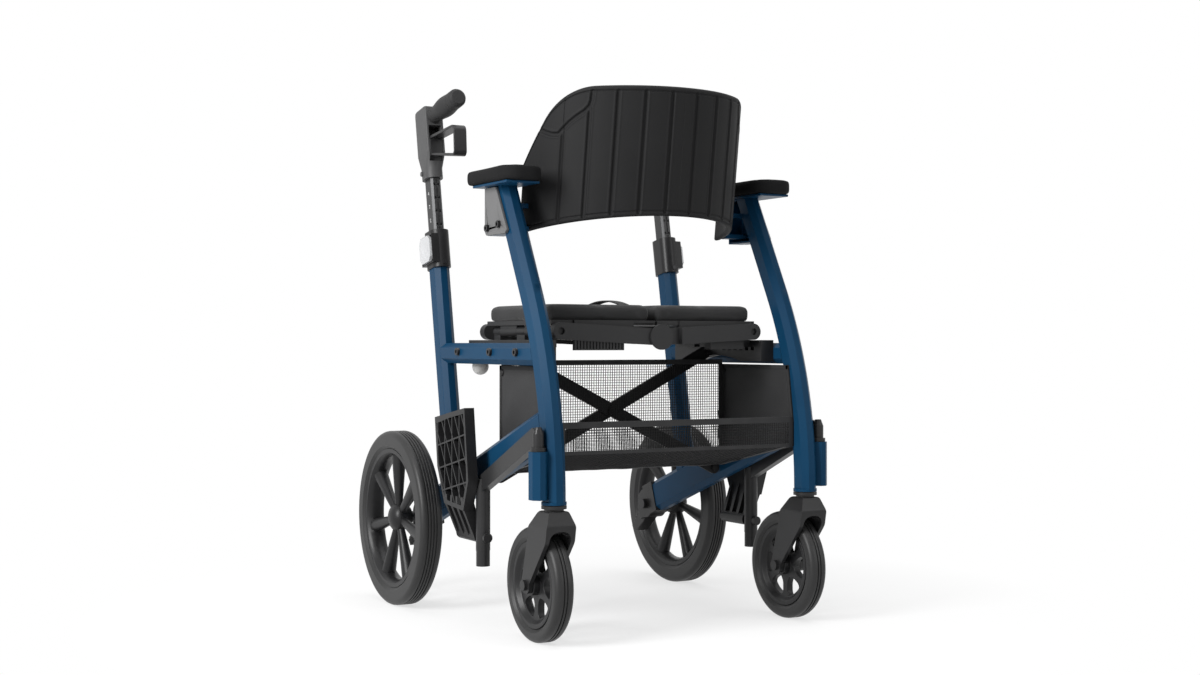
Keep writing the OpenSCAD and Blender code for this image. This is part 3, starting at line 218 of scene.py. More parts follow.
# Each look: how it is made, its two tones, and its own values
LOOKS = {
    "frame_paint": (moulded, ((0.0031, 0.0300, 0.0705), (0.0047, 0.0380, 0.0850)),
                    dict(rough=0.36, grain=1400.0, depth=0.00004, spec=0.07)),
    "dark_plastic": (moulded, ((0.0120, 0.0120, 0.0125), (0.0175, 0.0175, 0.0181)),
                     dict(rough=0.36, grain=1500.0, depth=0.00009, spec=0.24)),
    "black_plastic": (moulded, ((0.0090, 0.0090, 0.0096), (0.0140, 0.0140, 0.0146)),
                      dict(rough=0.38, grain=1500.0, depth=0.00009, spec=0.24)),
    # Grey plastic: partly its own dark grey, partly painted light, set lighter to stand in for the light from
    # the left on its outward faces
    "grey_plastic": (moulded, ((0.0950, 0.0950, 0.0960), (0.1160, 0.1160, 0.1170)),
                     dict(rough=0.48, grain=1800.0, depth=0.00010, spec=0.35)),
    "pad_foam": (moulded, ((0.0090, 0.0090, 0.0094), (0.0130, 0.0130, 0.0134)),
                 dict(rough=0.75, grain=1100.0, depth=0.00030, spec=0.06)),
    "basket_fabric": (woven, ((0.0080, 0.0080, 0.0085), (0.0190, 0.0190, 0.0200)),
                      dict(period=0.0011, depth=0.00018, rough=0.60, axes="YZ", sheen=0.10)),
    "bolt_steel": (moulded, ((0.0200, 0.0200, 0.0210), (0.0380, 0.0380, 0.0400)),
                   dict(rough=0.40, grain=900.0, depth=0.00004, metallic=0.7)),
    "tyre_rubber": (moulded, ((0.0140, 0.0140, 0.0143), (0.0200, 0.0200, 0.0202)),
                    dict(rough=0.44, grain=700.0, depth=0.00014, spec=0.30)),
    "stem_metal": (moulded, ((0.0260, 0.0265, 0.0275), (0.0350, 0.0355, 0.0365)),
                   dict(rough=0.42, grain=1900.0, depth=0.00003, metallic=0.55)),
    "grip_rubber": (moulded, ((0.0160, 0.0160, 0.0165), (0.0220, 0.0220, 0.0225)),
                    dict(rough=0.60, grain=1300.0, depth=0.00020, spec=0.22)),
    "button_silver": (moulded, ((0.4200, 0.4250, 0.4350), (0.5000, 0.5050, 0.5150)),
                      dict(rough=0.38, grain=2000.0, depth=0.00003, metallic=0.2)),
    "black_metal": (moulded, ((0.0095, 0.0095, 0.0101), (0.0150, 0.0150, 0.0157)),
                    dict(rough=0.36, grain=1700.0, depth=0.00006, spec=0.12)),
    "seat_fabric": (woven, ((0.0095, 0.0095, 0.0100), (0.0250, 0.0250, 0.0256)),
                    dict(period=0.0012, depth=0.00022, sheen=0.15)),
    "backrest_foam": (moulded, ((0.0085, 0.0085, 0.0089), (0.0125, 0.0125, 0.0129)),
                      dict(rough=0.64, grain=1000.0, depth=0.00028, spec=0.14)),
    "basket_mesh": (woven, ((0.0060, 0.0060, 0.0065), (0.0130, 0.0130, 0.0135)),
                    dict(period=0.0009, depth=0.00010, axes="XZ", sheen=0.05)),
    "strap_web": (woven, ((0.0070, 0.0070, 0.0075), (0.0190, 0.0190, 0.0195)),
                  dict(period=0.0016, depth=0.00025, sheen=0.1)),
    # Handle body: dark-grey plastic, painted lighter so that its colour also stands in for the light from the
    # left on its cheek
    "handle_plastic": (moulded, ((0.0480, 0.0480, 0.0490), (0.0620, 0.0620, 0.0630)),
                       dict(rough=0.50, grain=1600.0, depth=0.00012, spec=0.25)),
    "hanger_metal": (moulded, ((0.0150, 0.0150, 0.0155), (0.0210, 0.0210, 0.0216)),
                     dict(rough=0.32, grain=1700.0, depth=0.00005, spec=0.22)),
    "pan_plastic": (moulded, ((0.0170, 0.0170, 0.0176), (0.0240, 0.0240, 0.0247)),
                    dict(rough=0.48, grain=1500.0, depth=0.00010, spec=0.20)),
    "knob_grey": (moulded, ((0.4400, 0.4350, 0.4250), (0.5200, 0.5150, 0.5050)),
                  dict(rough=0.45, grain=1500.0, depth=0.00008)),
    "print_white": (moulded, ((0.6200, 0.6200, 0.6200), (0.7200, 0.7200, 0.7200)),
                    dict(rough=0.55, grain=1500.0, depth=0.00002)),
}
MATS = {name: kind(name, tones, **values) for name, (kind, tones, values) in LOOKS.items()}

# Nodes whose look is another than that of their slot, by the end of their name; the handle body's lighter
# look is partly painted light
OWN_LOOK = {"_handle_body": "handle_plastic", "_seat_pan": "pan_plastic", "_rim": "black_plastic",
            "_footrest_hanger": "hanger_metal"}
slot_of = {s["node"]: s["material_slot"] for s in frame["record"]["subparts"]}
for name, obj in nodes.items():
    obj.data.materials.clear()
    look = next((m for end, m in OWN_LOOK.items() if name.endswith(end)), slot_of[name])
    obj.data.materials.append(MATS[look])


# Mesh helpers
WELD = 1e-6


def shade(me, smooth=True):
    for face in me.polygons:
        face.use_smooth = smooth


def make(name, verts, faces, mat, smooth=True):
    """New object from points and faces, with double points merged and normals outward."""
    me = bpy.data.meshes.new(name)
    me.from_pydata([tuple(v) for v in verts], [], faces)
    me.update()
    bm = bmesh.new()
    bm.from_mesh(me)
    bmesh.ops.remove_doubles(bm, verts=bm.verts, dist=WELD)
    bmesh.ops.recalc_face_normals(bm, faces=bm.faces)
    bm.to_mesh(me)
    bm.free()
    shade(me, smooth)
    ob = place(name, me)
    me.materials.append(MATS[mat])
    return ob


def shell(name, outer, inner, mat):
    """Closed sheet from two grids of the same size, joined along their edges."""
    nu, nv = len(outer), len(outer[0])
    verts = [p for col in outer for p in col] + [p for col in inner for p in col]
    off = nu * nv

    def at(i, j):
        return i * nv + j

    faces = []
    for i in range(nu - 1):
        for j in range(nv - 1):
            faces.append((at(i, j), at(i + 1, j), at(i + 1, j + 1), at(i, j + 1)))
            faces.append((off + at(i, j), off + at(i, j + 1), off + at(i + 1, j + 1), off + at(i + 1, j)))
    for i in range(nu - 1):
        faces.append((at(i, 0), off + at(i, 0), off + at(i + 1, 0), at(i + 1, 0)))
        faces.append((at(i, nv - 1), at(i + 1, nv - 1), off + at(i + 1, nv - 1), off + at(i, nv - 1)))
    for j in range(nv - 1):
        faces.append((at(0, j), at(0, j + 1), off + at(0, j + 1), off + at(0, j)))
        faces.append((at(nu - 1, j), off + at(nu - 1, j), off + at(nu - 1, j + 1), at(nu - 1, j + 1)))
    return make(name, verts, faces, mat)


def ribbon(verts, faces, path, across, lift, w, t):
    """Adds a flat strand along a path: across gives its width direction, lift its thickness direction."""
    base = len(verts)
    for q, a, n in zip(path, across, lift):
        for sa, sn in ((-1, -1), (1, -1), (1, 1), (-1, 1)):
            verts.append(q + a * (sa * w / 2) + n * (sn * t / 2))
    m = len(path)
    for i in range(m - 1):
        for k in range(4):
            b = base + 4 * i
            faces.append((b + k, b + (k + 1) % 4, b + 4 + (k + 1) % 4, b + 4 + k))
    faces.append((base + 3, base + 2, base + 1, base))
    e = base + 4 * (m - 1)
    faces.append((e, e + 1, e + 2, e + 3))


def ball(name, radius, segments, rings, where, mat):
    """Sphere, carried to its place and shape by a matrix."""
    bm = bmesh.new()
    bmesh.ops.create_uvsphere(bm, u_segments=segments, v_segments=rings, radius=radius)
    me = bpy.data.meshes.new(name)
    bm.to_mesh(me)
    bm.free()
    shade(me)
    me.transform(where)
    ob = place(name, me)
    me.materials.append(MATS[mat])
    return ob


def clamp01(t):
    return max(0.0, min(1.0, t))


def smoothstep(a, b, x):
    t = clamp01((x - a) / (b - a))
    return t * t * (3 - 2 * t)


def on_upright(s, x, y, z):
    """Point in the frame of a rear upright: x outboard, z up the tube from the rail."""
    return Vector((s * (FRAME_X + x), UPRIGHT_Y + y * math.cos(LEAN) + z * math.sin(LEAN),
                   RAIL_Z - y * math.sin(LEAN) + z * math.cos(LEAN)))


# Backrest: an upright bend, leaning as a whole, with angles in degrees from its middle
BACK_R = 0.19805
BACK_MID_Y = -0.08600
BACK_REF_Z = 0.707
BACK_LEAN = math.radians(8.0)
BACK_T = 0.012
BACK_END = 83.5
BACK_SEAM = 58.05
SEAM_HALF = 0.02
DEG_RUN = BACK_R * math.pi / 180

# Its upper and lower edge
BACK_TOP_Z = 0.893
BACK_CORNER_R = 0.110
BACK_EDGE_SLOPE = math.radians(56.0)
BACK_EDGE_Z = 0.772
BACK_END_RUN = BACK_R * math.radians(BACK_END)
BACK_CORNER_RUN = (BACK_END_RUN - (BACK_TOP_Z - BACK_EDGE_Z) / math.tan(BACK_EDGE_SLOPE)
                   - BACK_CORNER_R * math.tan(BACK_EDGE_SLOPE / 2))
BACK_LOW_Z = 0.660
BACK_LOW_RISE = 0.024
BACK_LOW_Y = -0.11705
BACK_LOW_RUN = 0.167

# Its channels: pitch in degrees, section, ends, and the seam around the upper corner as angle and height
PITCH = 12.9
CHANNELS = 5
GROOVE = 0.0030
GROOVE_FLOOR, GROOVE_SIDE = 0.0024, 0.0036
BEAD, BEAD_OUT, BEAD_W = 0.0006, 0.0052, 0.0014
RIM_IN = 0.0085
RIM_SHARE = 0.5
RIM_FLOOR, RIM_SIDE = 0.0008, 0.0020
CHANNEL_TOP_IN, CHANNEL_LOW_IN = 0.010, 0.007
CHANNEL_TOPS = {3: 0.855, 4: 0.820}
CORNER = [(72.5, 0.829), (68.0, 0.823), (64.0, 0.8185), (60.5, 0.818), (58.2, 0.826), (55.0, 0.836),
          (51.3, 0.845), (47.5, 0.853), (45.3, 0.861), (44.5, 0.870), (44.3, 0.884)]
CROWN = 0.0007
SKIN_SINK = 0.0013

# Its mesh
BACK_EDGE_R = 0.006
BACK_STEP = 0.0011
LEAST_COLUMNS = 12
BACK_ROWS = 190
ROW_BUNCH = 0.35


def back_top(a):
    """Height of the upper edge: level, then a rounded corner, then a straight slanting side."""
    run = BACK_R * math.radians(abs(a))
    past = max(0.0, run - BACK_CORNER_RUN)
    if past <= BACK_CORNER_R * math.sin(BACK_EDGE_SLOPE):
        return BACK_TOP_Z - BACK_CORNER_R + math.sqrt(BACK_CORNER_R ** 2 - past ** 2)
    return BACK_EDGE_Z + (BACK_END_RUN - run) * math.tan(BACK_EDGE_SLOPE)


def back_low(a):
    """Height of the lower edge, which rises towards the middle."""
    y = BACK_MID_Y - BACK_R * math.cos(math.radians(a))
    return BACK_LOW_Z + BACK_LOW_RISE * clamp01((BACK_LOW_Y - y) / BACK_LOW_RUN)


def back_row(a, z, r):
    """Place of the sheet's point at angle a, at height z of its middle layer and at radius r."""
    t = math.radians(a)
    ym = -BACK_R * math.cos(t)
    zl = (z - BACK_REF_Z - ym * math.sin(BACK_LEAN)) / math.cos(BACK_LEAN)
    y = -r * math.cos(t)
    return Vector((r * math.sin(t), BACK_MID_Y + y * math.cos(BACK_LEAN) - zl * math.sin(BACK_LEAN),
                   BACK_REF_Z + y * math.sin(BACK_LEAN) + zl * math.cos(BACK_LEAN)))


def corner_dist(px, pz):
    """Distance on the sheet from a point to the seam around the upper corner."""
    best = 1.0
    for (a0, z0), (a1, z1) in zip(CORNER, CORNER[1:]):
        x0, x1 = a0 * DEG_RUN, a1 * DEG_RUN
        dx, dz = x1 - x0, z1 - z0
        t = clamp01(((px - x0) * dx + (pz - z0) * dz) / (dx * dx + dz * dz))
        best = min(best, math.hypot(px - x0 - t * dx, pz - z0 - t * dz))
    return best


def groove_depth(a, z):
    """Depth of the channels and the rim line in the outer skin, with a bead beside each channel."""
    x = abs(a) * DEG_RUN
    d = corner_dist(x, z)
    for i in range(CHANNELS):
        g = (i + 0.5) * PITCH
        top = CHANNEL_TOPS.get(i, back_top(g) - CHANNEL_TOP_IN)
        low = back_low(g) + CHANNEL_LOW_IN
        dz = max(0.0, z - top, low - z)
        d = min(d, math.hypot(x - g * DEG_RUN, dz))
    rim = min(z - back_low(a), back_top(a) - z) - RIM_IN
    bead = BEAD * math.exp(-((d - BEAD_OUT) / BEAD_W) ** 2)
    channel = 1 - smoothstep(GROOVE_FLOOR, GROOVE_SIDE, d)
    rim_line = RIM_SHARE * (1 - smoothstep(RIM_FLOOR, RIM_SIDE, abs(rim)))
    return GROOVE * max(channel, rim_line) - bead


def panel_crown(a):
    """Swell of the skin between two channels."""
    t = (abs(a) / PITCH + 0.5) % 1.0
    return CROWN * math.sin(math.pi * t) ** 0.5


def rounding(d):
    """Share of the full thickness at distance d from a rounded edge."""
    return math.sqrt(max(0.0, 1 - (1 - clamp01(d / BACK_EDGE_R)) ** 2))


def back_piece(name, a0, a1, free, body, node):
    """Part of the backrest from angle a0 to a1; a free end at a1 is rounded like the upper and lower edge."""
    n = max(LEAST_COLUMNS, int(abs(a1 - a0) * DEG_RUN / BACK_STEP))
    outer, inner = [], []
    for i in range(n + 1):
        a = a0 + (a1 - a0) * i / n
        lo, hi = back_low(a), back_top(a)
        end = rounding(abs(a - a1) * DEG_RUN) if free else 1.0
        co, ci = [], []
        for j in range(BACK_ROWS + 1):
            bunched = 0.5 - 0.5 * math.cos(math.pi * j / BACK_ROWS)
            t = ROW_BUNCH * bunched + (1 - ROW_BUNCH) * j / BACK_ROWS
            z = lo + (hi - lo) * t
            d = min(z - lo, hi - z)
            h = BACK_T / 2 * min(end, rounding(d))
            skin = smoothstep(0.0, BACK_EDGE_R, d)
            relief = (panel_crown(a) - SKIN_SINK) * skin
            co.append(back_row(a, z, BACK_R + h - groove_depth(a, z) * skin + relief))
            ci.append(back_row(a, z, BACK_R - h))
        outer.append(co)
        inner.append(ci)
    ob = shell(name, outer, inner, "backrest_foam")
    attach(ob, body)
    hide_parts(node)


for side, s in SIDES:
    back_piece(side + "_backrest_panels", s * SEAM_HALF, s * (BACK_SEAM - SEAM_HALF), False,
               side + "_back", side + "_backrest")
    back_piece(side + "_backrest_end", s * (BACK_SEAM + SEAM_HALF), s * BACK_END, True,
               side + "_frame", side + "_back_side")


# Cushions and arm pads
ROUND_STEPS = [15 * i for i in range(7)]
LEAST_R = 0.0005
LONG_SIDE = 0.02
SIDE_PARTS = 8
WALL_ROWS = 8


def rounded_block(x0, x1, y0, y1, z0, z1, r_plan, r_edge, nose=None):
    """Closed block with rounded edges, as a stack of rings; nose is the radius of its front corners."""
    cx, cy = (x0 + x1) / 2, (y0 + y1) / 2
    hx, hy = (x1 - x0) / 2, (y1 - y0) / 2

    def ring(inset):
        pts = []
        for qx, qy, start in ((1, -1, -90), (1, 1, 0), (-1, 1, 90), (-1, -1, 180)):
            rr = r_plan if nose is None or qy > 0 else nose
            rr = max(LEAST_R, rr - inset)
            ccx = cx + qx * (hx - inset - rr)
            ccy = cy + qy * (hy - inset - rr)
            for step in ROUND_STEPS:
                t = math.radians(start + step)
                pts.append((ccx + rr * math.cos(t), ccy + rr * math.sin(t)))
        out = []
        for p, q in zip(pts, pts[1:] + pts[:1]):
            out.append(p)
            if math.hypot(q[0] - p[0], q[1] - p[1]) > LONG_SIDE:
                for k in range(1, SIDE_PARTS):
                    out.append((p[0] + (q[0] - p[0]) * k / SIDE_PARTS, p[1] + (q[1] - p[1]) * k / SIDE_PARTS))
        return out

    rows = []
    for step in ROUND_STEPS:
        t = math.radians(90 - step)
        rows.append((r_edge * (1 - math.cos(t)), z0 + r_edge * (1 - math.sin(t))))
    for i in range(1, WALL_ROWS):
        rows.append((0.0, z0 + r_edge + (z1 - z0 - 2 * r_edge) * i / WALL_ROWS))
    for step in ROUND_STEPS:
        t = math.radians(step)
        rows.append((r_edge * (1 - math.cos(t)), z1 - r_edge * (1 - math.sin(t))))
    rings = [[(p[0], p[1], z) for p in ring(inset)] for inset, z in rows]
    n = len(rings[0])
    verts = [p for r in rings for p in r]
    faces = []
    for j in range(len(rings) - 1):
        for i in range(n):
            faces.append((j * n + i, j * n + (i + 1) % n, (j + 1) * n + (i + 1) % n, (j + 1) * n + i))
    faces.append(tuple(range(n - 1, -1, -1)))
    faces.append(tuple((len(rings) - 1) * n + i for i in range(n)))
    return verts, faces


def swell(ob, voxel, pressure, cap, frames):
    """Blows the closed mesh up as cloth, with a limit on how far a point may move."""
    rm = ob.modifiers.new("remesh", "REMESH")
    rm.mode = "VOXEL"
    rm.voxel_size = voxel
    bpy.context.view_layer.objects.active = ob
    for o in bpy.context.selected_objects:
        o.select_set(False)
    ob.select_set(True)
    bpy.ops.object.modifier_apply(modifier="remesh")
    start = [v.co.copy() for v in ob.data.vertices]
    cl = ob.modifiers.new("cloth", "CLOTH")
    cs = cl.settings
    cs.quality = 5
    cs.mass = 0.3
    cs.use_pressure = True
    cs.uniform_pressure_force = pressure
    cs.effector_weights.gravity = 0.0
    cs.tension_stiffness = 18.0
    cs.compression_stiffness = 18.0
    cs.shear_stiffness = 8.0
    cs.bending_stiffness = 2.0
    cl.point_cache.frame_start = 1
    cl.point_cache.frame_end = frames
    for f in range(1, frames + 1):
        scene.frame_set(f)
    dg = bpy.context.evaluated_depsgraph_get()
    me = bpy.data.meshes.new_from_object(ob.evaluated_get(dg))
    moved = [v.co.copy() for v in me.vertices]
    bpy.data.meshes.remove(me)
    ob.modifiers.remove(cl)
    for v, a, b in zip(ob.data.vertices, start, moved):
        d = b - a
        if d.length > cap:
            d *= cap / d.length
        v.co = a + d
    scene.frame_set(1)
    shade(ob.data)


def settle(ob, z_low, z_high, flat_from, press):
    """Presses the underside on its board and keeps the crown under the top height."""
    for v in ob.data.vertices:
        v.co.z = max(z_low, min(z_high, v.co.z))
        if v.co.z < flat_from:
            v.co.z = z_low + (v.co.z - z_low) * press


def mirrored(ob, name, mat):
    me = ob.data.copy()
    me.transform(Matrix.Scale(-1, 4, X_AXIS))
    me.flip_normals()
    me.materials.clear()
    me.materials.append(MATS[mat])
    me.name = name
    return place(name, me)


def subdivide(ob):
    sub = ob.modifiers.new("smooth", "SUBSURF")
    sub.levels = 1
    sub.render_levels = 1


CUSHION_IN, CUSHION_OUT = 0.0035, 0.1995
CUSHION_LOW = BOARD_TOP + 0.0002
CUSHION_TOP = 0.5387
CUSHION_INSET = 0.002
CUSHION_CROWN = 0.0005
CUSHION_MIDDLE = 0.0016
verts, faces = rounded_block(CUSHION_IN, CUSHION_OUT, SEAT_FRONT + CUSHION_INSET, SEAT_BACK - CUSHION_INSET,
                             CUSHION_LOW, CUSHION_TOP - CUSHION_INSET, r_plan=0.011, r_edge=0.0065)
right_cushion = make("right_cushion", verts, faces, "seat_fabric")
swell(right_cushion, voxel=0.0045, pressure=3.0, cap=0.0035, frames=20)
settle(right_cushion, CUSHION_LOW, CUSHION_TOP + CUSHION_CROWN, flat_from=BOARD_TOP + 0.004, press=0.35)
for v in right_cushion.data.vertices:
    v.co.x = max(CUSHION_MIDDLE, v.co.x)
left_cushion = mirrored(right_cushion, "left_cushion", "seat_fabric")
for side, s in SIDES:
    ob = right_cushion if s > 0 else left_cushion
    subdivide(ob)
    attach(ob, side + "_seat")
    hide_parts(side + "_seat_cushion")

PAD_X, PAD_HALF_W = 0.2465, 0.038
PAD_Y, PAD_HALF_L = -0.14855, 0.078
PAD_LOW, PAD_TOP = 0.7383, 0.7625
PAD_BOARD = 0.7382
verts, faces = rounded_block(PAD_X - PAD_HALF_W, PAD_X + PAD_HALF_W, PAD_Y - PAD_HALF_L, PAD_Y + PAD_HALF_L,
                             PAD_LOW, PAD_TOP, r_plan=0.010, r_edge=0.0055, nose=0.030)
right_pad = make("right_arm_pad", verts, faces, "pad_foam")
swell(right_pad, voxel=0.004, pressure=2.0, cap=0.002, frames=14)
for v in right_pad.data.vertices:
    v.co.z = max(PAD_BOARD, v.co.z)
left_pad = mirrored(right_pad, "left_arm_pad", "pad_foam")
for side, s in SIDES:
    ob = right_pad if s > 0 else left_pad
    subdivide(ob)
    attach(ob, side + "_frame")
    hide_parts(side + "_armrest_pad")


# Basket
BASKET_FRONT, BASKET_BACK = -0.301, -0.081
LOW_FRONT, LOW_BACK, BASKET_TOP = 0.299, 0.253, 0.437
FRONT_TOP = 0.340
NET_HALF = 0.2224
NET_INSET = 0.0015
NET_NORMALS = (Vector((0, 1, 0)), Vector((0, -0.2047, -0.9788)), Vector((0, -1, 0)))
CELL = 0.0046
STRAND_W, STRAND_T = 0.0009, 0.0009
STRAND_LIFT = 0.0003
BACK_SAG, BOTTOM_SAG, FRONT_SAG = 0.0015, 0.006, 0.004
RIPPLE, RIPPLE_X, RIPPLE_U, RIPPLE_WALL = 0.0010, 21.0, 4.0, 3.1
AT_HEM = 1e-4
TOP_HEM_W, FOLD_HEM_W, FRONT_HEM_W, SIDE_HEM_W = 0.009, 0.006, 0.010, 0.007
HEM_T = 0.0024
HEM_LAP = 0.0006


def basket_profile():
    """Evenly spaced rows down the back wall, along the bottom and up the front wall.

    Each row has its point, its outward normal, the number of its wall and its share of the way along it.
    """
    back_y, front_y = BASKET_BACK - NET_INSET, BASKET_FRONT + NET_INSET
    pts = [Vector((0, back_y, BASKET_TOP)), Vector((0, back_y, LOW_BACK + NET_INSET)),
           Vector((0, front_y, LOW_FRONT + NET_INSET)), Vector((0, front_y, FRONT_TOP))]
    out = []
    for w, (a, b) in enumerate(zip(pts, pts[1:])):
        n = round((b - a).length / CELL)
        for i in range(n + (w == 2)):
            out.append((a + (b - a) * (i / n), NET_NORMALS[w], w, i / n))
    return out


def net_sag(x, w, u):
    """Outward give of the net between its hems."""
    cx = math.cos(math.pi * x / (2 * NET_HALF))
    ripple = RIPPLE * noise.noise((x * RIPPLE_X, u * RIPPLE_U, w * RIPPLE_WALL))
    if w == 0:
        return BACK_SAG * cx * math.sin(math.pi * u) + ripple
    if w == 1:
        return BOTTOM_SAG * cx * math.sin(math.pi * u) + 2 * ripple
    return FRONT_SAG * cx * u + ripple


def net_point(x, row, extra=0.0):
    q, n, w, u = row
    sag = 0.0 if abs(x) > NET_HALF - AT_HEM else net_sag(x, w, u)
    return Vector((x, q.y, q.z)) + n * (sag + extra)


profile = basket_profile()
normals = [r[1] for r in profile]
columns = round(2 * NET_HALF / CELL)
xs = [-NET_HALF + 2 * NET_HALF * k / columns for k in range(columns + 1)]
verts, faces = [], []
for k, x in enumerate(xs):
    path = [net_point(x, r, STRAND_LIFT * (-1) ** (k + i)) for i, r in enumerate(profile)]
    ribbon(verts, faces, path, [X_AXIS] * len(path), normals, STRAND_W, STRAND_T)
for i, r in enumerate(profile):
    along = X_AXIS.cross(r[1])
    path = [net_point(x, r, -STRAND_LIFT * (-1) ** (k + i)) for k, x in enumerate(xs)]
    ribbon(verts, faces, path, [along] * len(path), [r[1]] * len(path), STRAND_W, STRAND_T)
net = make("basket_net_strands", verts, faces, "basket_mesh", smooth=False)
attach(net, "left_frame")
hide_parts("basket_net")

# Hems: row, width, and which way the hem lies from its row
verts, faces = [], []
first_bottom = next(i for i, r in enumerate(profile) if r[2] == 1)
first_front = next(i for i, r in enumerate(profile) if r[2] == 2)
for i, w, way in ((0, TOP_HEM_W, 1), (first_bottom, FOLD_HEM_W, 0), (first_front, FOLD_HEM_W, 0),
                  (len(profile) - 1, FRONT_HEM_W, -1)):
    r = profile[i]
    along = X_AXIS.cross(r[1])
    shift = along * (w / 2 - HEM_LAP) * way
    path = [net_point(x, r) + shift for x in xs]
    ribbon(verts, faces, path, [along] * len(path), [r[1]] * len(path), w, HEM_T)
for x, inward in ((-NET_HALF, 1), (NET_HALF, -1)):
    path = [Vector((x + inward * SIDE_HEM_W / 2, r[0].y, r[0].z)) for r in profile]
    ribbon(verts, faces, path, [X_AXIS] * len(path), normals, SIDE_HEM_W, HEM_T)
hems = make("basket_hems", verts, faces, "basket_fabric", smooth=False)
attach(hems, "left_frame")

PANEL_X = 0.2242
PANEL_HALF_T = 0.0007
PANEL_CORNER = -0.287
PANEL_COLUMNS, PANEL_ROWS = 64, 48
BULGE, BULGE_HOLD, BULGE_MEAN = 0.0022, 14, 0.6
BULGE_Y, BULGE_Z, BULGE_SIDE = 16, 9, 2.0
CREASE, CREASE_HOLD, CREASE_WAVES, CREASE_SLANT = 0.0009, 20, 70, 0.6
PANEL_GIVE = 0.6
BINDING_W, BINDING_T = 0.007, 0.0028
BINDING_PARTS = 12
SNAP_R, SNAP_FLAT = 0.0062, 0.45
SNAP_X, SNAP_IN_Y, SNAP_IN_Z = 0.2256, 0.009, 0.012


def panel_low(y):
    return LOW_BACK + (LOW_FRONT - LOW_BACK) * (BASKET_BACK - y) / (BASKET_BACK - BASKET_FRONT)


def panel_high(y):
    if y > PANEL_CORNER:
        return BASKET_TOP
    return FRONT_TOP + (BASKET_TOP - FRONT_TOP) * (y - BASKET_FRONT) / (PANEL_CORNER - BASKET_FRONT)


def side_panel(side, s):
    """Coated cloth of the basket's side, pulled tight from its corners, with a bound edge."""
    nu, nv = PANEL_COLUMNS, PANEL_ROWS
    outer, inner = [], []
    for i in range(nu + 1):
        y = BASKET_FRONT + (BASKET_BACK - BASKET_FRONT) * i / nu
        lo_z, hi_z = panel_low(y), panel_high(y)
        co, ci = [], []
        for j in range(nv + 1):
            z = lo_z + (hi_z - lo_z) * j / nv
            e = min(i, nu - i) / nu * min(j, nv - j) / nv
            uneven = BULGE_MEAN + noise.noise((y * BULGE_Y, z * BULGE_Z, BULGE_SIDE * s))
            give = BULGE * clamp01(e * BULGE_HOLD) * uneven
            give += CREASE * clamp01(e * CREASE_HOLD) * math.sin(CREASE_WAVES * (z + CREASE_SLANT * y))
            x = PANEL_X + give * PANEL_GIVE
            co.append(Vector((s * (x + PANEL_HALF_T), y, z)))
            ci.append(Vector((s * (x - PANEL_HALF_T), y, z)))
        outer.append(co)
        inner.append(ci)
    ob = shell(side + "_basket_side", outer, inner, "basket_fabric")
    verts, faces = [], []
    ring = [(BASKET_FRONT, LOW_FRONT), (BASKET_BACK, LOW_BACK), (BASKET_BACK, BASKET_TOP),
            (PANEL_CORNER, BASKET_TOP), (BASKET_FRONT, FRONT_TOP)]
    for (y0, z0), (y1, z1) in zip(ring, ring[1:] + ring[:1]):
        a, b = Vector((s * PANEL_X, y0, z0)), Vector((s * PANEL_X, y1, z1))
        d = (b - a).normalized()
        inward = Vector((0, -d.z, d.y))
        shift = inward * (BINDING_W / 2)
        path = [a + (b - a) * (i / BINDING_PARTS) + shift for i in range(BINDING_PARTS + 1)]
        ribbon(verts, faces, path, [inward] * len(path), [X_AXIS] * len(path), BINDING_W, BINDING_T)
    bind = make(side + "_basket_binding", verts, faces, "strap_web", smooth=False)
    for o, slot_name in ((ob, "basket_fabric"), (bind, "strap_web")):
        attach(o, side + "_frame")
    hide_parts(side + "_basket_panel")


for side, s in SIDES:
    side_panel(side, s)
    snap_at = Matrix.Translation((s * SNAP_X, BASKET_BACK - SNAP_IN_Y, BASKET_TOP - SNAP_IN_Z))
    snap_at = snap_at @ Matrix.Diagonal((SNAP_FLAT, 1, 1, 1))
    snap = ball(side + "_basket_snap", SNAP_R, segments=24, rings=12, where=snap_at, mat="black_plastic")
    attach(snap, side + "_frame")
for o in (net, hems):
    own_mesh(o)


# Pull strap
STRAP_W, STRAP_T = 0.022, 0.0022
STRAP_Y0, STRAP_SPAN = -0.11605, 0.132
STRAP_TOP = 0.5506
STRAP_R = 0.240
STRAP_PARTS, STRAP_COLUMNS = 48, 12
STRAP_BOW = 0.0006
STRAP_EDGE, STRAP_EDGE_SQUARE = 0.82, 0.034
STRAP_EDGE_SHARE = 0.35
TAB_X = -0.0012
TAB_W, TAB_T = 0.026, 0.0016
TAB_IN = 0.0135
TAB_HEIGHTS = (0.500, 0.510, 0.520, 0.530, 0.5405)


def strap_path():
    """Arch of the webbing over the seam between the cushions: y, z and slope."""
    half = math.asin(STRAP_SPAN / 2 / STRAP_R)
    mid = STRAP_Y0 + STRAP_SPAN / 2
    r = STRAP_R - STRAP_T / 2
    for i in range(STRAP_PARTS + 1):
        a = -half + 2 * half * i / STRAP_PARTS
        yield mid + r * math.sin(a), STRAP_TOP - STRAP_R + r * math.cos(a), a


outer, inner = [], []
for y, z, a in strap_path():
    n = Vector((0, math.sin(a), math.cos(a)))
    co, ci = [], []
    for j in range(STRAP_COLUMNS + 1):
        u = -1 + 2 * j / STRAP_COLUMNS
        bow = STRAP_BOW * (1 - u * u)
        edge = math.sqrt(max(0.0, 1 - max(0.0, abs(u) - STRAP_EDGE) ** 2 / STRAP_EDGE_SQUARE))
        half_t = STRAP_T / 2 * (STRAP_EDGE_SHARE + (1 - STRAP_EDGE_SHARE) * edge)
        q = Vector((u * STRAP_W / 2, y, z))
        co.append(q + n * (half_t + bow - STRAP_BOW))
        ci.append(q - n * (half_t - bow + STRAP_BOW))
    outer.append(co)
    inner.append(ci)
strap = shell("pull_strap", outer, inner, "strap_web")

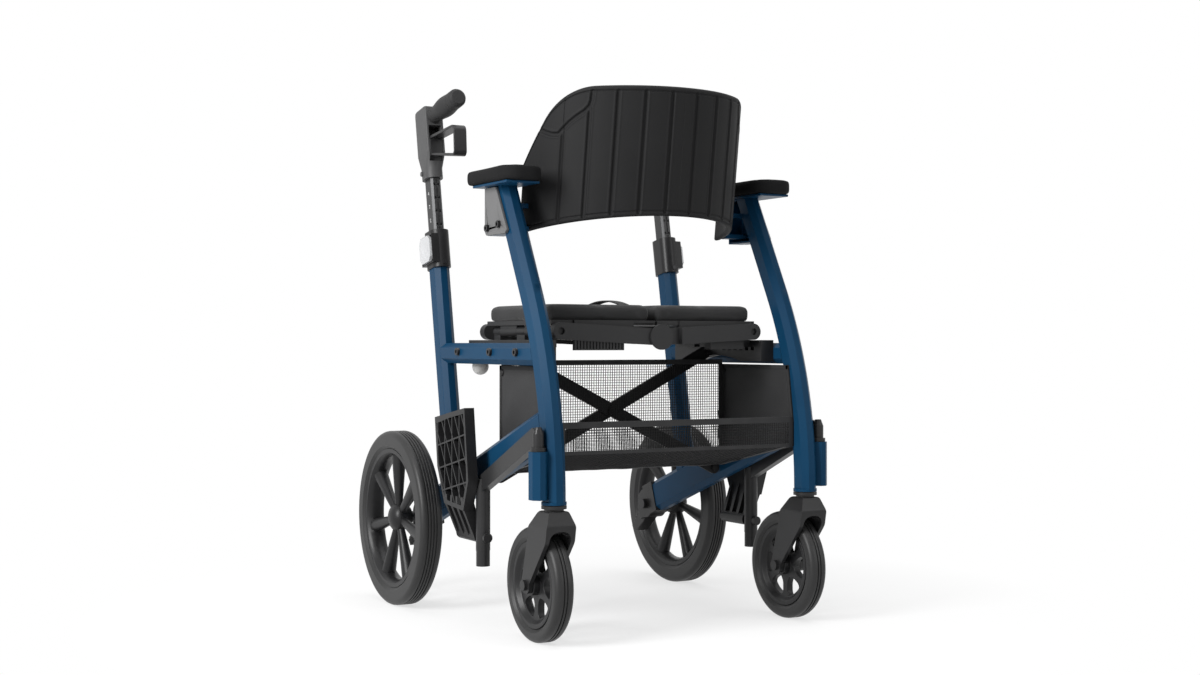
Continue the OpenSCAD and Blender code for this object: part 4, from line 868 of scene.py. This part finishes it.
# Tabs that hold the strap's ends in the seam
verts, faces = [], []
for y in (STRAP_Y0 + TAB_IN, STRAP_Y0 + STRAP_SPAN - TAB_IN):
    path = [Vector((TAB_X, y, z)) for z in TAB_HEIGHTS]
    ribbon(verts, faces, path, [Vector((0, 1, 0))] * len(path), [X_AXIS] * len(path), TAB_W, TAB_T)
tabs = make("pull_strap_tabs", verts, faces, "strap_web", smooth=False)
for o in (strap, tabs):
    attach(o, "left_seat")
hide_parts("seat_strap")


# Scale on the handle stems, each digit as one stroke in half widths and half heights
STROKES = {
    1: [(-0.2, 0.6), (0.1, 1.0), (0.1, -1.0)],
    2: [(-0.5, 0.6), (-0.2, 1.0), (0.3, 1.0), (0.5, 0.6), (0.4, 0.2), (-0.5, -1.0), (0.55, -1.0)],
    3: [(-0.5, 1.0), (0.5, 1.0), (-0.05, 0.2), (0.4, 0.0), (0.5, -0.5), (0.2, -1.0), (-0.3, -1.0),
        (-0.5, -0.7)],
    4: [(0.3, -1.0), (0.3, 1.0), (-0.55, -0.4), (0.6, -0.4)],
}
DIGITS = (4, 3, 2, 1)
DIGIT_TOP, DIGIT_PITCH = 0.2945, 0.025
DIGIT_HALF_W, DIGIT_HALF_H = 0.0031, 0.0030
DIGIT_OUT = 0.01002
LINE_W, LINE_T, LINE_PAST = 0.0008, 0.0001, 0.0003

for side, s in SIDES:
    outward = Vector((s, 0, 0))
    verts, faces = [], []
    for k, digit in enumerate(DIGITS):
        zc = DIGIT_TOP - DIGIT_PITCH * k
        flat = [(s * u * DIGIT_HALF_W, zc + v * DIGIT_HALF_H) for u, v in STROKES[digit]]
        for (y0, z0), (y1, z1) in zip(flat, flat[1:]):
            a, b = on_upright(s, DIGIT_OUT, y0, z0), on_upright(s, DIGIT_OUT, y1, z1)
            d = (b - a).normalized()
            path = [a - d * LINE_PAST, b + d * LINE_PAST]
            ribbon(verts, faces, path, [d.cross(outward)] * 2, [outward] * 2, LINE_W, LINE_T)
    ob = make(side + "_stem_scale", verts, faces, "print_white", smooth=False)
    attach(ob, side + "_handle")

# Round buffer under the left rail
KNOB_R = 0.0145
KNOB_AT = (-0.209, 0.032, 0.4335)
knob_at = Matrix.Translation(KNOB_AT)
knob = ball("left_knob", KNOB_R, segments=32, rings=20, where=knob_at, mat="knob_grey")
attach(knob, "left_frame")


# Edges of the hard parts
EDGE = {"frame_paint": 0.0010, "dark_plastic": 0.0010, "black_plastic": 0.0008, "grey_plastic": 0.0014,
        "grip_rubber": 0.0010, "tyre_rubber": 0.0006, "stem_metal": 0.0006, "button_silver": 0.0008,
        "black_metal": 0.0008, "bolt_steel": 0.0005}
EDGE_SEGMENTS = 2
FORK_EDGE, FORK_SEGMENTS = 0.0030, 3
EDGE_ANGLE = math.radians(34)
NODE_WELD = 0.00002

for name, obj in nodes.items():
    width = EDGE.get(slot_of[name])
    if width is None:
        continue
    fork = name.endswith("_caster_fork")
    shade(obj.data)
    weld = obj.modifiers.new("weld", "WELD")
    weld.merge_threshold = NODE_WELD
    bev = obj.modifiers.new("edge", "BEVEL")
    bev.width = FORK_EDGE if fork else width
    bev.segments = FORK_SEGMENTS if fork else EDGE_SEGMENTS
    bev.limit_method = "ANGLE"
    bev.angle_limit = EDGE_ANGLE
    bev.use_clamp_overlap = True
    wn = obj.modifiers.new("normals", "WEIGHTED_NORMAL")
    wn.weight = 60
    wn.keep_sharp = False


# Floor and light
WHITE = (1.0, 1.0, 1.0, 1.0)
FLOOR_TONE = (0.93, 0.93, 0.93, 1.0)
FLOOR_HALF = 14.0
FLOOR_PARTS = 8
GLOW_NEAR, GLOW_FAR = 0.40, 0.90
GLOW_LEAST = 0.66
WORLD_ON_PART = 0.32


def seen(nt):
    """Light path node, and 1 for rays from the camera and for mirrored rays."""
    lp = nt.nodes.new("ShaderNodeLightPath")
    return lp, maths(nt, "MAXIMUM", lp.outputs["Is Camera Ray"], lp.outputs["Is Glossy Ray"])


# Pale floor that turns to plain white away from the chair
floor_mat, nt, p = new_material("floor_pale")
p.inputs["Base Color"].default_value = FLOOR_TONE
p.inputs["Roughness"].default_value = 0.9
p.inputs["Specular IOR Level"].default_value = 0.1
glow = nt.nodes.new("ShaderNodeEmission")
glow.inputs["Color"].default_value = WHITE
glow.inputs["Strength"].default_value = 1.0
mix = nt.nodes.new("ShaderNodeMixShader")
length = nt.nodes.new("ShaderNodeVectorMath")
length.operation = "LENGTH"
nt.links.new(coords(nt), length.inputs[0])
far = ramp(nt, length.outputs["Value"], GLOW_NEAR, GLOW_FAR, GLOW_LEAST, 1.0)
nt.links.new(maths(nt, "MULTIPLY", far, seen(nt)[1]), mix.inputs[0])
nt.links.new(p.outputs[0], mix.inputs[1])
nt.links.new(glow.outputs[0], mix.inputs[2])
nt.links.new(mix.outputs[0], nt.nodes["Material Output"].inputs["Surface"])
bm = bmesh.new()
bmesh.ops.create_grid(bm, x_segments=FLOOR_PARTS, y_segments=FLOOR_PARTS, size=FLOOR_HALF)
me = bpy.data.meshes.new("floor")
bm.to_mesh(me)
bm.free()
floor = place("floor", me)
floor.data.materials.append(floor_mat)

# World: white where it is seen, dimmer as light on the part
world = bpy.data.worlds.new("studio")
scene.world = world
world.use_nodes = True
nt = world.node_tree
bg = nt.nodes["Background"]
bg.inputs["Color"].default_value = WHITE
lp, direct = seen(nt)
direct = maths(nt, "MAXIMUM", direct, lp.outputs["Is Transmission Ray"])
nt.links.new(ramp(nt, direct, 0.0, 1.0, WORLD_ON_PART, 1.0), bg.inputs["Strength"])

# Lamps: place, point they face, width and height, power
LAMPS = {
    "key_left": ((-2.4, -0.7, 1.5), (0.0, 0.0, 0.45), (0.9, 1.5), 84.0),
    "top": ((0.2, -0.3, 2.9), (0.0, 0.0, 0.4), (2.4, 2.4), 42.0),
    "front_right": ((1.6, -2.6, 1.3), (0.1, 0.0, 0.5), (0.9, 1.6), 12.0),
}
for name, (at, to, size, power) in LAMPS.items():
    light = bpy.data.lights.new(name, "AREA")
    light.shape = "RECTANGLE"
    light.size, light.size_y = size
    light.energy = power
    lamp = place(name, light)
    lamp.location = at
    lamp.rotation_euler = aimed(Vector(to) - Vector(at))
